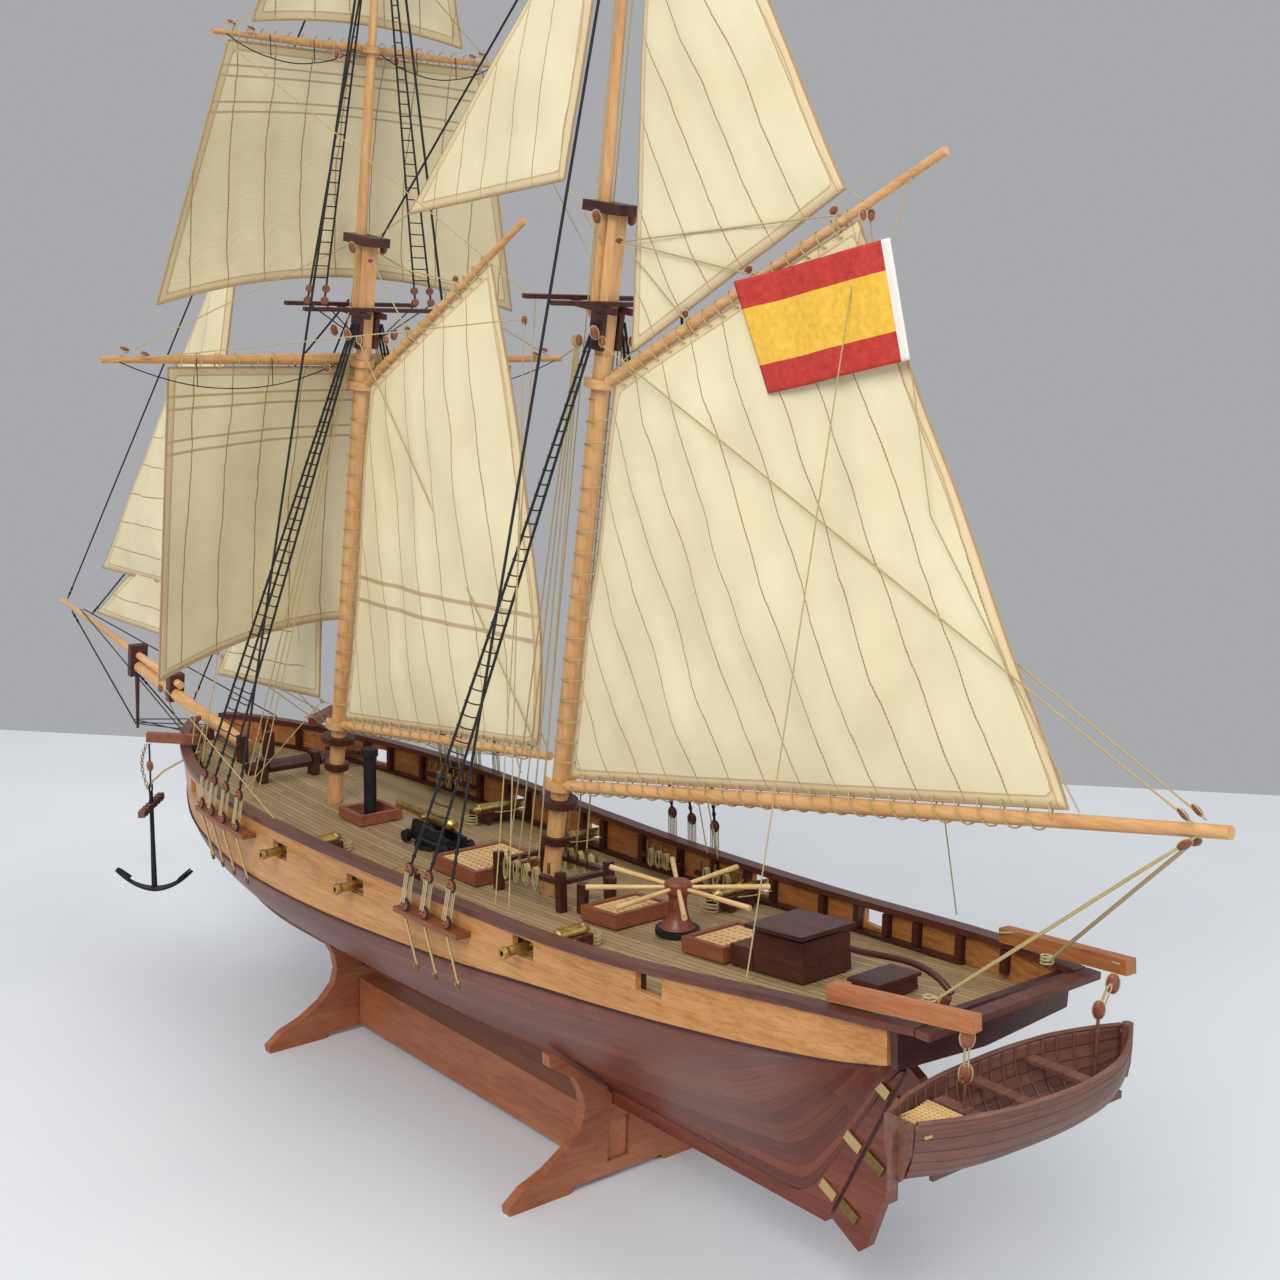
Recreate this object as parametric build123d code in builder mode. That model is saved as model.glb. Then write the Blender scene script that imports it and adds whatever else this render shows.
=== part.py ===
"""Static display model of a two-masted topsail schooner on a cradle stand, in millimetres.
+X runs forward to the bow, +Y to port, +Z up from the table."""

import os
from bisect import bisect_right
from math import atan2, cos, degrees, hypot, pi, radians, sin

from build123d import *

os.makedirs("parts", exist_ok=True)

# ---- driving dimensions (mm) ----
KEEL_Z = 34.0            # underside of the keel above the table
KEEL_T = 6.0             # keel, stem and sternpost thickness
PLANK_T = 2.4            # hull planking thickness
BULWARK_T = 2.6          # bulwark thickness
DECK_T = 1.6             # deck thickness
CAMBER = 2.0             # deck rise at the centreline
RAIL_W, RAIL_T = 6.2, 2.6
GAP = 0.3                # clearance between separately made pieces
HULL_AFT, HULL_FWD = -286.0, 284.0
RUDDER_HEEL, RUDDER_HEAD = (-224.2, 34.7), (-258.9, 105.4)   # hinge line, x and z
MAIN_FOOT, MAIN_RAKE = (-48.0, 114.0), -0.1495               # lower mast at the deck, dx/dz
FORE_FOOT, FORE_RAKE = (140.5, 113.0), -0.157
MAIN_CAP_Z, FORE_CAP_Z = 405.0, 398.0
MAIN_TOP_Z, FORE_TOP_Z = 604.0, 594.0
MAST_R, MASTHEAD = 4.05, 5.4
TOPMAST_R = 2.9
TOPMAST_FWD = 9.0        # topmast centre forward of the lower masthead
BOOM_LEN, BOOM_RISE = 319.0, 9.7                             # length, angle above level
GAFF_LEN, GAFF_RISE = 188.0, 24.6
FBOOM_LEN, FBOOM_RISE = 177.0, 6.2
FGAFF_LEN, FGAFF_RISE = 148.0, 29.0
YARD_HALF, TYARD_HALF, GYARD_HALF = 127.0, 76.0, 44.0
YARD_Z, TYARD_Z, GYARD_Z = 340.5, 484.0, 556.0
SAIL_T = 0.7
PORTS_X = (184.0, 68.0, 3.0, -118.0, -188.0)
GUNS_X = (68.0, 3.0, -118.0)
PORT_W, PORT_H = 13.0, 7.6
CRADLE_X = (-95.6, 110.6)
CRADLE_T = 5.0
DAVIT_Y = 39.4
BOAT_Y, BOAT_X = 8.0, -316.0
CAPSTAN_X = -134.0
TO_ORIGIN = Location((-63.4, 0, 0))   # modelled from amidships, stored from the middle of the whole length
ROPE = 0.35              # thin line radius
CABLE = 0.5              # shroud and stay radius


def curve(pairs):
    """Monotone cubic through (x, value) pairs."""
    pairs = sorted(pairs)
    xs = [p[0] for p in pairs]
    ys = [p[1] for p in pairs]
    n = len(xs)
    h = [xs[i + 1] - xs[i] for i in range(n - 1)]
    d = [(ys[i + 1] - ys[i]) / h[i] for i in range(n - 1)]
    m = [d[0]] + [0.0] * (n - 2) + [d[-1]]
    for i in range(1, n - 1):
        if d[i - 1] * d[i] > 0:
            a, b = 2 * h[i] + h[i - 1], h[i] + 2 * h[i - 1]
            m[i] = (a + b) / (a / d[i - 1] + b / d[i])

    def value(x):
        x = min(max(x, xs[0]), xs[-1])
        i = min(max(bisect_right(xs, x) - 1, 0), n - 2)
        t = (x - xs[i]) / h[i]
        return ((2 * t**3 - 3 * t**2 + 1) * ys[i] + (t**3 - 2 * t**2 + t) * h[i] * m[i]
                + (-2 * t**3 + 3 * t**2) * ys[i + 1] + (t**3 - t**2) * h[i] * m[i + 1])

    return value


# half breadth at the rail, and its height
rail_b = curve([(-300, 42.5), (-290, 45), (-260, 51.1), (-230, 55.2), (-200, 59), (-170, 61.7), (-140, 64), (-110, 65.2),
                (-80, 65.8), (-50, 66.4), (-20, 67.2), (10, 68.6), (40, 69.6), (70, 69.9), (100, 69.2), (130, 67),
                (160, 63.2), (190, 56.6), (220, 46.5), (240, 38.2), (252, 32.5), (262, 27), (272, 20.5), (280, 14), (284, 10.5)])
rail_z = curve([(-300, 144.8), (-260, 142.6), (-230, 139.8), (-200, 136.6), (-170, 134), (-140, 132), (-110, 130.7),
                (-80, 129.8), (-50, 129.3), (-20, 129), (40, 128.9), (100, 129.2), (130, 129.5), (160, 130),
                (190, 130.8), (220, 131.7), (250, 132.8), (275, 133.8), (292, 134.5)])
# lower edge of the light strake
wale_z = curve([(-300, 131), (-290, 129.2), (-270, 125.2), (-250, 122.4), (-200, 117), (-125, 110), (-80, 105), (-32, 100.8),
                (30, 98), (80, 97.6), (122, 98.6), (150, 100.2), (200, 104), (250, 109), (272, 112), (292, 116)])
wale_in = curve([(-300, 1.5), (-200, 0.8), (-100, 0.6), (100, 0.6), (190, 1.4), (220, 2.6), (252, 4.2), (272, 5.6), (284, 5.0)])
deck_z = curve([(-300, 132), (-250, 127.5), (-200, 122.5), (-150, 118.4), (-119, 116), (-60, 112), (0, 110.2), (60, 110),
                (120, 111), (180, 113.2), (240, 117), (292, 120.5)])
# bottom of the planking: along the keel, up the sternpost, out along the counter, and up the stem
rabbet_z = curve([(-292, 126.5), (-286, 123), (-270, 113.5), (-258, 106), (-252, 99), (-240, 80), (-228, 61), (-218, 47), (-210, 41),
                  (-200, 40), (150, 40), (190, 41), (215, 44.5), (235, 51), (250, 59), (262, 68.5), (271, 79), (278, 90),
                  (284, 103)])
# how hollow each section is
hollow = curve([(-286, 1.25), (-258, 1.6), (-240, 2.6), (-215, 2.3), (-180, 1.7), (-95, 1.2), (0, 0.98), (110, 0.98), (170, 1.1),
                (215, 1.25), (250, 1.35), (284, 1.2)])


def wale_b(x):
    return rail_b(x) - wale_in(x)


def girth(x, u, inset=0.0):
    """Point (y, z) on the hull at share u of the height from rabbet to wale, inset along y and z."""
    zb, zt = rabbet_z(x), wale_z(x)
    f = (1 - (1 - u) ** 1.6) ** hollow(x)
    y = KEEL_T / 2 + (wale_b(x) - KEEL_T / 2) * f
    z = zb + (zt - zb) * u
    return y, z


def section(x, inset):
    """Half section as points from wale down to rabbet, moved inwards by inset."""
    us = [1.0, 0.93, 0.84, 0.72, 0.58, 0.44, 0.3, 0.18, 0.08, 0.0]
    pts = [girth(x, u) for u in us]
    if not inset:
        return pts
    out = []
    for i, (y, z) in enumerate(pts):
        a = pts[max(i - 1, 0)]
        b = pts[min(i + 1, len(pts) - 1)]
        ty, tz = b[0] - a[0], b[1] - a[1]
        t = hypot(ty, tz) or 1.0
        ny, nz = tz / t, -ty / t          # towards the centreline and up
        if ny > 0:
            ny, nz = -ny, -nz
        out.append((y + ny * inset, z + nz * inset))
    out[0] = (pts[0][0] - inset, pts[0][1])
    good = []
    for y, z in out:
        if good and y < 0.6:
            y0, z0 = good[-1]
            if y0 > 0.6:
                good.append((0.6, z0 + (z - z0) * (y0 - 0.6) / (y0 - y)))
            break
        good.append((y, z))
    run = [0.0]
    for a, b in zip(good, good[1:]):
        run.append(run[-1] + hypot(b[0] - a[0], b[1] - a[1]))
    fy, fz = curve(zip(run, [p[0] for p in good])), curve(zip(run, [p[1] for p in good]))
    return [(fy(run[-1] * k / 9), fz(run[-1] * k / 9)) for k in range(10)]


def side_y(x, z):
    """Outside half breadth of the bulwark at height z."""
    zt, zr = wale_z(x), rail_z(x)
    t = (z - zt) / (zr - zt)
    return wale_b(x) + 0.5 + (rail_b(x) - wale_b(x) - 0.5) * t


def deck_top(x, y=0.0):
    half = side_y(x, deck_z(x)) - BULWARK_T
    return deck_z(x) + CAMBER * (1 - min(1.0, abs(y) / half) ** 2)


def deck_plane(x, y=0.0, up=GAP):
    """Plane lying on the deck at x, y."""
    slope = (deck_top(x + 8, y) - deck_top(x - 8, y)) / 16
    return Plane(origin=(x, y, deck_top(x, y) + up), x_dir=(1, 0, slope), z_dir=(-slope, 0, 1))


def main_x(z):
    return MAIN_FOOT[0] + MAIN_RAKE * (z - MAIN_FOOT[1])


def fore_x(z):
    return FORE_FOOT[0] + FORE_RAKE * (z - FORE_FOOT[1])


def main_top_x(z):
    return main_x(MAIN_CAP_Z) + TOPMAST_FWD - 0.128 * (z - MAIN_CAP_Z)


def fore_top_x(z):
    return fore_x(FORE_CAP_Z) + TOPMAST_FWD - 0.14 * (z - FORE_CAP_Z)


def solid_rod(p, q, r):
    """Round bar from p to q, kept private until it is added."""
    p, q = Vector(*p), Vector(*q)
    with Locations(Plane(origin=p, z_dir=q - p).location):
        return Cylinder(r, (q - p).length, align=(Align.CENTER, Align.CENTER, Align.MIN), mode=Mode.PRIVATE)


def solid_taper(p, q, r0, r1):
    p, q = Vector(*p), Vector(*q)
    with Locations(Plane(origin=p, z_dir=q - p).location):
        return Cone(r0, r1, (q - p).length, align=(Align.CENTER, Align.CENTER, Align.MIN), mode=Mode.PRIVATE)


def solid_box(plane, size, align=(Align.CENTER, Align.CENTER, Align.MIN)):
    with Locations(plane.location):
        return Box(*size, align=align, mode=Mode.PRIVATE)


def solid_ball(p, r):
    with Locations(p):
        return Sphere(r, mode=Mode.PRIVATE)


def both(p):
    return (p, (p[0], -p[1], p[2]))


STATIONS = [-286, -272, -260, -251, -241, -229, -216, -196, -150, -80, 0, 80, 140, 180, 208, 232, 252, 268, 278, 284]
RAIL_ST = [-298, -270, -230, -180, -120, -60, 0, 60, 110, 150, 185, 215, 240, 260, 274, 284]
BW_ST = [-288, -272, -240, -200, -150, -90, -20, 50, 110, 150, 185, 215, 240, 260, 274, 284]

# ---------------- keel, stem and sternpost ----------------
with BuildPart() as keel_stem_sternpost:
    with BuildSketch(Plane.XZ):
        with BuildLine():
            low = [(205, KEEL_Z + 1.6), (232, 41.5), (254, 52), (270, 66), (281, 82), (288, 100), (291.5, 114), (293, 125.5)]
            Polyline((RUDDER_HEEL[0] + 0.2, KEEL_Z), (175, KEEL_Z))
            Spline((175, KEEL_Z), *low)
            top = [(x, rabbet_z(x) - 0.25) for x in (284, 278, 271, 262, 250, 235, 215, 190)]
            Polyline(low[-1], (284.6, 125.5), (284.6, rabbet_z(284) - 0.25))
            Polyline((284.6, rabbet_z(284) - 0.25), *top, (150, rabbet_z(150) - 0.25), (-206, rabbet_z(-206) - 0.25))
            aft = [(-210, 40.75), (-218, 46.75), (-228, 60.75), (-240, 79.75), (-252, 98.75), (-257.0, 104.6)]
            Polyline((-206, rabbet_z(-206) - 0.25), *aft, (RUDDER_HEAD[0] + 0.2, RUDDER_HEAD[1] - 0.1),
                     (RUDDER_HEEL[0] + 0.2, KEEL_Z))
        make_face()
    extrude(amount=KEEL_T / 2, both=True)
keel_stem_sternpost.part = keel_stem_sternpost.part.moved(TO_ORIGIN)
keel_stem_sternpost.part.label = "keel_stem_sternpost"
export_step(keel_stem_sternpost.part, "parts/keel_stem_sternpost.step")

# ---------------- hull planking, one U-shaped shell ----------------
with BuildPart() as hull_planking:
    for x in STATIONS:
        outer = section(x, 0.0)
        inner = section(x, PLANK_T if x < 276 else 1.6)
        with BuildSketch(Plane.YZ.offset(x)):
            with BuildLine():
                Spline(*[(y, z) for y, z in outer])
                Line(outer[-1], (-outer[-1][0], outer[-1][1]))
                Spline(*[(-y, z) for y, z in reversed(outer)])
                Line((-outer[0][0], outer[0][1]), (-inner[0][0], inner[0][1]))
                Spline(*[(-y, z) for y, z in inner])
                Line((-inner[-1][0], inner[-1][1]), inner[-1])
                Spline(*[(y, z) for y, z in reversed(inner)])
                Line(inner[0], outer[0])
            make_face()
    loft()
    with Locations(Plane(origin=(RUDDER_HEAD[0], 0, RUDDER_HEAD[1]), z_dir=(RUDDER_HEAD[0] - RUDDER_HEEL[0], 0, RUDDER_HEAD[1] - RUDDER_HEEL[1])).location):
        Cylinder(2.5, 30, align=(Align.CENTER, Align.CENTER, Align.MIN), mode=Mode.SUBTRACT)
hull_planking.part = hull_planking.part.moved(TO_ORIGIN)
hull_planking.part.label = "hull_planking"
export_step(hull_planking.part, "parts/hull_planking.step")

# ---------------- centre former and bulkheads inside the hull ----------------
BULKHEADS = (-196, -140, -74, -12, 56, 116, 168, 214)
LAP_Z = 74.0
with BuildPart() as internal_frame:
    with BuildSketch(Plane.XZ):
        with BuildLine():
            Polyline((-196, 46), (205, 46), (236, 66), (250, 84), (258, deck_z(258) - 4), (180, deck_z(180) - 2.4),
                     (120, deck_z(120) - 2.4), (0, deck_z(0) - 2.4), (-60, deck_z(-60) - 2.4), (-150, deck_z(-150) - 2.4),
                     (-250, deck_z(-250) - 4), (-240, 104), (-222, 76), (-196, 46))
        make_face()
    extrude(amount=2.0, both=True)
    for x in BULKHEADS:
        with Locations((x, 0, 0)):
            Box(4.5, 6, LAP_Z + 0.2, align=(Align.CENTER, Align.CENTER, Align.MIN), mode=Mode.SUBTRACT)
    for foot, rake in ((MAIN_FOOT, MAIN_RAKE), (FORE_FOOT, FORE_RAKE)):
        z0 = 62.0
        with Locations(Plane(origin=(foot[0] + rake * (z0 - foot[1]), 0, z0), z_dir=(rake, 0, 1)).location):
            Box(9.4, 9.4, 80, align=(Align.CENTER, Align.CENTER, Align.MIN), mode=Mode.SUBTRACT)
    plates = []
    for x in BULKHEADS:
        with BuildSketch(Plane.YZ.offset(x - 2.0), mode=Mode.PRIVATE) as rib:
            pts = [p for p in section(x, PLANK_T + 1.6)]
            pts = [p for p in pts if p[0] > 3.2]
            top = deck_z(x) - DECK_T - 0.7
            edge = side_y(x, top) - BULWARK_T - 1.0
            edge = min(edge, pts[0][0])
            with BuildLine():
                Polyline((edge, top), *pts, (2.5, pts[-1][1]), (-2.5, pts[-1][1]), *[(-y, z) for y, z in reversed(pts)],
                         (-edge, top), close=True)
            make_face()
            with Locations((0, LAP_Z)):
                Rectangle(4.5, 200, align=(Align.CENTER, Align.MIN), mode=Mode.SUBTRACT)
        plates.append(extrude(rib.sketch, amount=4.0, mode=Mode.PRIVATE))
    add(plates)
internal_frame.part = internal_frame.part.moved(TO_ORIGIN)
internal_frame.part.label = "internal_frame"
export_step(internal_frame.part, "parts/internal_frame.step")

# ---------------- deck with camber ----------------
with BuildPart() as deck:
    for x in BW_ST[1:-1]:
        half = side_y(x, deck_z(x)) - BULWARK_T - 0.5
        zc = deck_z(x)
        with BuildSketch(Plane.YZ.offset(x)):
            with BuildLine():
                ThreePointArc((half, zc), (0, zc + CAMBER), (-half, zc))
                Line((-half, zc), (-half, zc - DECK_T))
                ThreePointArc((-half, zc - DECK_T), (0, zc + CAMBER - DECK_T), (half, zc - DECK_T))
                Line((half, zc - DECK_T), (half, zc))
            make_face()
    loft()
    for foot, rake in ((MAIN_FOOT, MAIN_RAKE), (FORE_FOOT, FORE_RAKE)):
        with Locations(Plane(origin=(foot[0] - 20 * rake, 0, foot[1] - 20), z_dir=(rake, 0, 1)).location):
            Cylinder(MAST_R + 0.35, 60, align=(Align.CENTER, Align.CENTER, Align.MIN), mode=Mode.SUBTRACT)
    with Locations((-273.5, 0, 120)):
        Box(14.6, 9, 60, mode=Mode.SUBTRACT)
deck.part = deck.part.moved(TO_ORIGIN)
deck.part.label = "deck"
export_step(deck.part, "parts/deck.step")


def strake(x, s):
    """Bulwark section corners at x on side s."""
    zb, zt = wale_z(x) + 0.2, rail_z(x) - RAIL_T - 0.2
    yb, yt = side_y(x, zb), side_y(x, zt)
    return [(s * yb, zb), (s * yt, zt), (s * (yt - BULWARK_T), zt), (s * (yb - BULWARK_T), zb)]


def port_box(x):
    zc = deck_z(x) + 3.6 + PORT_H / 2
    return (x, zc)


# ---------------- bulwarks: the light upper strakes with gun ports ----------------
with BuildPart() as bulwark_port:
    for x in BW_ST:
        with BuildSketch(Plane.YZ.offset(x)):
            with BuildLine():
                Polyline(*strake(x, 1), close=True)
            make_face()
    loft()
    for x in PORTS_X:
        with Locations((port_box(x)[0], rail_b(x), port_box(x)[1])):
            Box(PORT_W, 22, PORT_H, mode=Mode.SUBTRACT)
bulwark_port.part = bulwark_port.part.moved(TO_ORIGIN)
bulwark_port.part.label = "bulwark_port"
export_step(bulwark_port.part, "parts/bulwark_port.step")

with BuildPart() as bulwark_starboard:
    for x in BW_ST:
        with BuildSketch(Plane.YZ.offset(x)):
            with BuildLine():
                Polyline(*strake(x, -1), close=True)
            make_face()
    loft()
    for x in PORTS_X:
        with Locations((port_box(x)[0], -rail_b(x), port_box(x)[1])):
            Box(PORT_W, 22, PORT_H, mode=Mode.SUBTRACT)
bulwark_starboard.part = bulwark_starboard.part.moved(TO_ORIGIN)
bulwark_starboard.part.label = "bulwark_starboard"
export_step(bulwark_starboard.part, "parts/bulwark_starboard.step")

# ---------------- timberheads inside the bulwarks, and the waterways at their feet ----------------
POST_X = sorted([p + d for p in PORTS_X for d in (-8.6, 8.6)] + [-262, -238, -214, -158, -88, -64, -36, 34, 101, 126, 150, 214, 238, 258])
WW_ST = [x for x in BW_ST if -270 < x < 262]
with BuildPart() as timberheads:
    strips = []
    for s in (1, -1):
        with BuildPart(mode=Mode.PRIVATE) as strip:
            for x in WW_ST:
                z0 = deck_z(x) + 0.35
                y0 = side_y(x, z0) - BULWARK_T - 0.35
                with BuildSketch(Plane.YZ.offset(x)):
                    with BuildLine():
                        Polyline((s * y0, z0), (s * y0, z0 + 1.7), (s * (y0 - 3.2), z0 + 1.7), (s * (y0 - 3.2), z0 + 0.35), close=True)
                    make_face()
            loft()
        strips.append(strip.part)
        for x in POST_X:
            z0, z1 = deck_z(x) + 2.3, rail_z(x) - RAIL_T - 0.3
            yo = min(side_y(x + 1.6, z0), side_y(x - 1.6, z0), side_y(x - 1.6, z1), side_y(x + 1.6, z1)) - BULWARK_T - 0.3
            with Locations((x, s * (yo - 1.3), z0)):
                strips.append(Box(3.0, 2.6, z1 - z0, align=(Align.CENTER, Align.CENTER, Align.MIN), mode=Mode.PRIVATE))
    add(strips)
timberheads.part = timberheads.part.moved(TO_ORIGIN)
timberheads.part.label = "timberheads"
export_step(timberheads.part, "parts/timberheads.step")

# ---------------- cap rail ----------------
with BuildPart() as cap_rail:
    rails = []
    for s in (1, -1):
        with BuildPart(mode=Mode.PRIVATE) as rail:
            for x in RAIL_ST:
                b, z = rail_b(x) + 1.0, rail_z(x)
                with BuildSketch(Plane.YZ.offset(x)):
                    with BuildLine():
                        Polyline((s * b, z - RAIL_T), (s * b, z), (s * (b - RAIL_W), z), (s * (b - RAIL_W), z - RAIL_T), close=True)
                    make_face()
            loft()
        rails.append(rail.part)
    add(rails)
    with Locations((-298.6, 0, rail_z(-298) - RAIL_T)):
        taff = Box(5.6, 2 * rail_b(-298) + 2.0, RAIL_T, align=(Align.MAX, Align.CENTER, Align.MIN))
cap_rail.part = cap_rail.part.moved(TO_ORIGIN)
cap_rail.part.label = "cap_rail"
export_step(cap_rail.part, "parts/cap_rail.step")

# ---------------- transom ----------------
with BuildPart() as transom:
    with BuildSketch(Plane.YZ.offset(-291.6)):
        with BuildLine():
            Polyline((-43.4, 128.2), (0, 125.2), (43.4, 128.2), (44.4, 141.4), (0, 141.6), (-44.4, 141.4), close=True)
        make_face()
    extrude(amount=2.8)
transom.part = transom.part.moved(TO_ORIGIN)
transom.part.label = "transom"
export_step(transom.part, "parts/transom.step")

# ---------------- channels along the sides, and the catheads ----------------
MAIN_DE = (-46.0, -60.0, -76.0)          # deadeye positions along the channels
FORE_DE = (146.0, 132.0, 117.0, 101.0)
CH_T, CH_W = 2.2, 7.4


def channel_z(x):
    return rail_z(x) - 9.2


def channel_line(x, s):
    return s * (side_y(x, channel_z(x)) + CH_W - 1.0)


MAIN_CH, FORE_CH = (-84.0, -38.0), (92.0, 154.0)
CAT_IN, CAT_OUT = (226, 35, 135.2), (241, 57.5, 137.0)
with BuildPart() as channels:
    bits = []
    for lo, hi in (MAIN_CH, FORE_CH):
        for s in (1, -1):
            zc = (channel_z(lo) + channel_z(hi)) / 2
            with BuildSketch(Plane.XY.offset(zc - CH_T), mode=Mode.PRIVATE) as shelf:
                with BuildLine():
                    ins = [(x, s * (side_y(x, zc) + 0.4)) for x in (lo, (lo + hi) / 2, hi)]
                    outs = [(x, s * (side_y(x, zc) + CH_W)) for x in (hi, (lo + hi) / 2, lo)]
                    Polyline(*ins, *outs, close=True)
                make_face()
            bits.append(extrude(shelf.sketch, amount=CH_T, mode=Mode.PRIVATE))
    for s in (1, -1):
        a, b = Vector(CAT_IN[0], s * CAT_IN[1], CAT_IN[2]), Vector(CAT_OUT[0], s * CAT_OUT[1], CAT_OUT[2])
        bits.append(solid_box(Plane(origin=a, z_dir=b - a), (5.0, 5.0, (b - a).length)))
    add(bits)
channels.part = channels.part.moved(TO_ORIGIN)
channels.part.label = "channels"
export_step(channels.part, "parts/channels.step")

# ---------------- ironwork: chain plates under the channels, sternpost gudgeons ----------------
with BuildPart() as hull_ironwork:
    bits = []
    for s in (1, -1):
        for xs in (MAIN_DE, FORE_DE):
            for x in xs:
                zc = channel_z(x)
                zt, zb = zc - CH_T - 0.6, zc - 24
                bits.append(solid_rod((x, channel_line(x, s), zt), (x, s * (wale_b(x) + 1.6), zb), 0.6))
    ax = Vector(RUDDER_HEAD[0] - RUDDER_HEEL[0], 0, RUDDER_HEAD[1] - RUDDER_HEEL[1]).normalized()
    for d in (12.0, 38.0, 66.0):
        o = Vector(RUDDER_HEEL[0], 0, RUDDER_HEEL[1]) + ax * d
        fwd = Vector(ax.Z, 0, -ax.X)
        for s in (1, -1):
            pl = Plane(origin=o + fwd * 4.6 + Vector(0, s * (KEEL_T / 2 + 0.65), 0) - ax * 2.2, x_dir=fwd, z_dir=ax)
            bits.append(solid_box(pl, (8.0, 0.8, 4.4)))
    add(bits)
hull_ironwork.part = hull_ironwork.part.moved(TO_ORIGIN)
hull_ironwork.part.label = "hull_ironwork"
export_step(hull_ironwork.part, "parts/hull_ironwork.step")

# ---------------- deadeyes ----------------
DE_R, DE_T = 2.6, 2.4


def deadeye_points(x, s):
    """Lower and upper deadeye centres."""
    y = channel_line(x, s)
    zl = channel_z(x) + DE_R + 0.5
    return (x, y, zl), (x - 1.2, y - s * 1.6, zl + 15.0)


with BuildPart() as deadeyes:
    bits = []
    for s in (1, -1):
        for xs in (MAIN_DE, FORE_DE):
            for x in xs:
                for p in deadeye_points(x, s):
                    pl = Plane(origin=p, x_dir=(1, 0, 0), z_dir=(0, 1, 0))
                    with Locations(pl.location):
                        bits.append(Cylinder(DE_R, DE_T, mode=Mode.PRIVATE))
    add(bits)
deadeyes.part = deadeyes.part.moved(TO_ORIGIN)
deadeyes.part.label = "deadeyes"
export_step(deadeyes.part, "parts/deadeyes.step")

# ---------------- stern davits ----------------
DAV_IN, DAV_OUT = (-262.0, DAVIT_Y + 5.0, 146.2), (-319.0, DAVIT_Y, 152.0)
with BuildPart() as davits:
    bits = []
    for s in (1, -1):
        a, b = Vector(DAV_IN[0], s * DAV_IN[1], DAV_IN[2]), Vector(DAV_OUT[0], s * DAV_OUT[1], DAV_OUT[2])
        pl = Plane(origin=a, x_dir=(b - a).cross(Vector(0, 0, 1)), z_dir=b - a)
        bits.append(solid_box(pl, (5.0, 5.4, (b - a).length)))
    add(bits)
davits.part = davits.part.moved(TO_ORIGIN)
davits.part.label = "davits"
export_step(davits.part, "parts/davits.step")

# ---------------- hatches on the centreline ----------------
HATCHES = ((-166.0, 24.0, 30.0, 6.0), (-101.5, 23.0, 30.0, 6.0), (-2.0, 35.0, 40.0, 6.5), (104.0, 22.0, 24.0, 5.0))
with BuildPart() as hatch_coamings:
    bits = []
    for x, lx, ly, h in HATCHES:
        pl = deck_plane(x, 0, 0.7)
        ring = solid_box(pl, (lx, ly, h)) - solid_box(pl, (lx - 5, ly - 5, h + 2))
        bits.append(ring)
    add(bits)
hatch_coamings.part = hatch_coamings.part.moved(TO_ORIGIN)
hatch_coamings.part.label = "hatch_coamings"
export_step(hatch_coamings.part, "parts/hatch_coamings.step")

with BuildPart() as hatch_gratings:
    bits = []
    for x, lx, ly, h in HATCHES[:3]:
        pl = deck_plane(x, 0, h - 1.4)
        w, d = lx - 5.8, ly - 5.8
        plate = solid_box(pl, (w, d, 1.4))
        nx, ny = int(w // 3.6), int(d // 3.6)
        holes = []
        for i in range(nx):
            for j in range(ny):
                cx, cy = (i - (nx - 1) / 2) * 3.4, (j - (ny - 1) / 2) * 3.4
                holes.append(solid_box(Plane(pl.from_local_coords(Vector(cx, cy, -0.5)), x_dir=pl.x_dir, z_dir=pl.z_dir), (1.9, 1.9, 3)))
        bits.append(plate - holes)
    add(bits)
hatch_gratings.part = hatch_gratings.part.moved(TO_ORIGIN)
hatch_gratings.part.label = "hatch_gratings"
export_step(hatch_gratings.part, "parts/hatch_gratings.step")

# ---------------- companionway and stern skylight ----------------
with BuildPart() as deckhouses:
    pl = deck_plane(-205, 0, 0.7)
    body = solid_box(pl, (26, 25, 15))
    lid_pl = Plane(pl.from_local_coords(Vector(0.5, 0, 16.2)), x_dir=pl.x_dir, z_dir=pl.z_dir)
    lid = solid_box(lid_pl, (30, 28, 1.6))
    foot_pl = Plane(pl.from_local_coords(Vector(19.5, 0, 0)), x_dir=pl.x_dir, z_dir=pl.z_dir)
    foot = solid_box(foot_pl, (12, 25, 8))
    sk = deck_plane(-246, 0, 0.9)
    sky = solid_box(sk, (13, 20, 4.6))
    sky_lid = solid_box(Plane(sk.from_local_coords(Vector(0, 0, 4.8)), x_dir=sk.x_dir, z_dir=sk.z_dir), (15, 22, 1.4))
    add([body, lid, foot, sky, sky_lid])
deckhouses.part = deckhouses.part.moved(TO_ORIGIN)
deckhouses.part.label = "deckhouses"
export_step(deckhouses.part, "parts/deckhouses.step")

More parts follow.
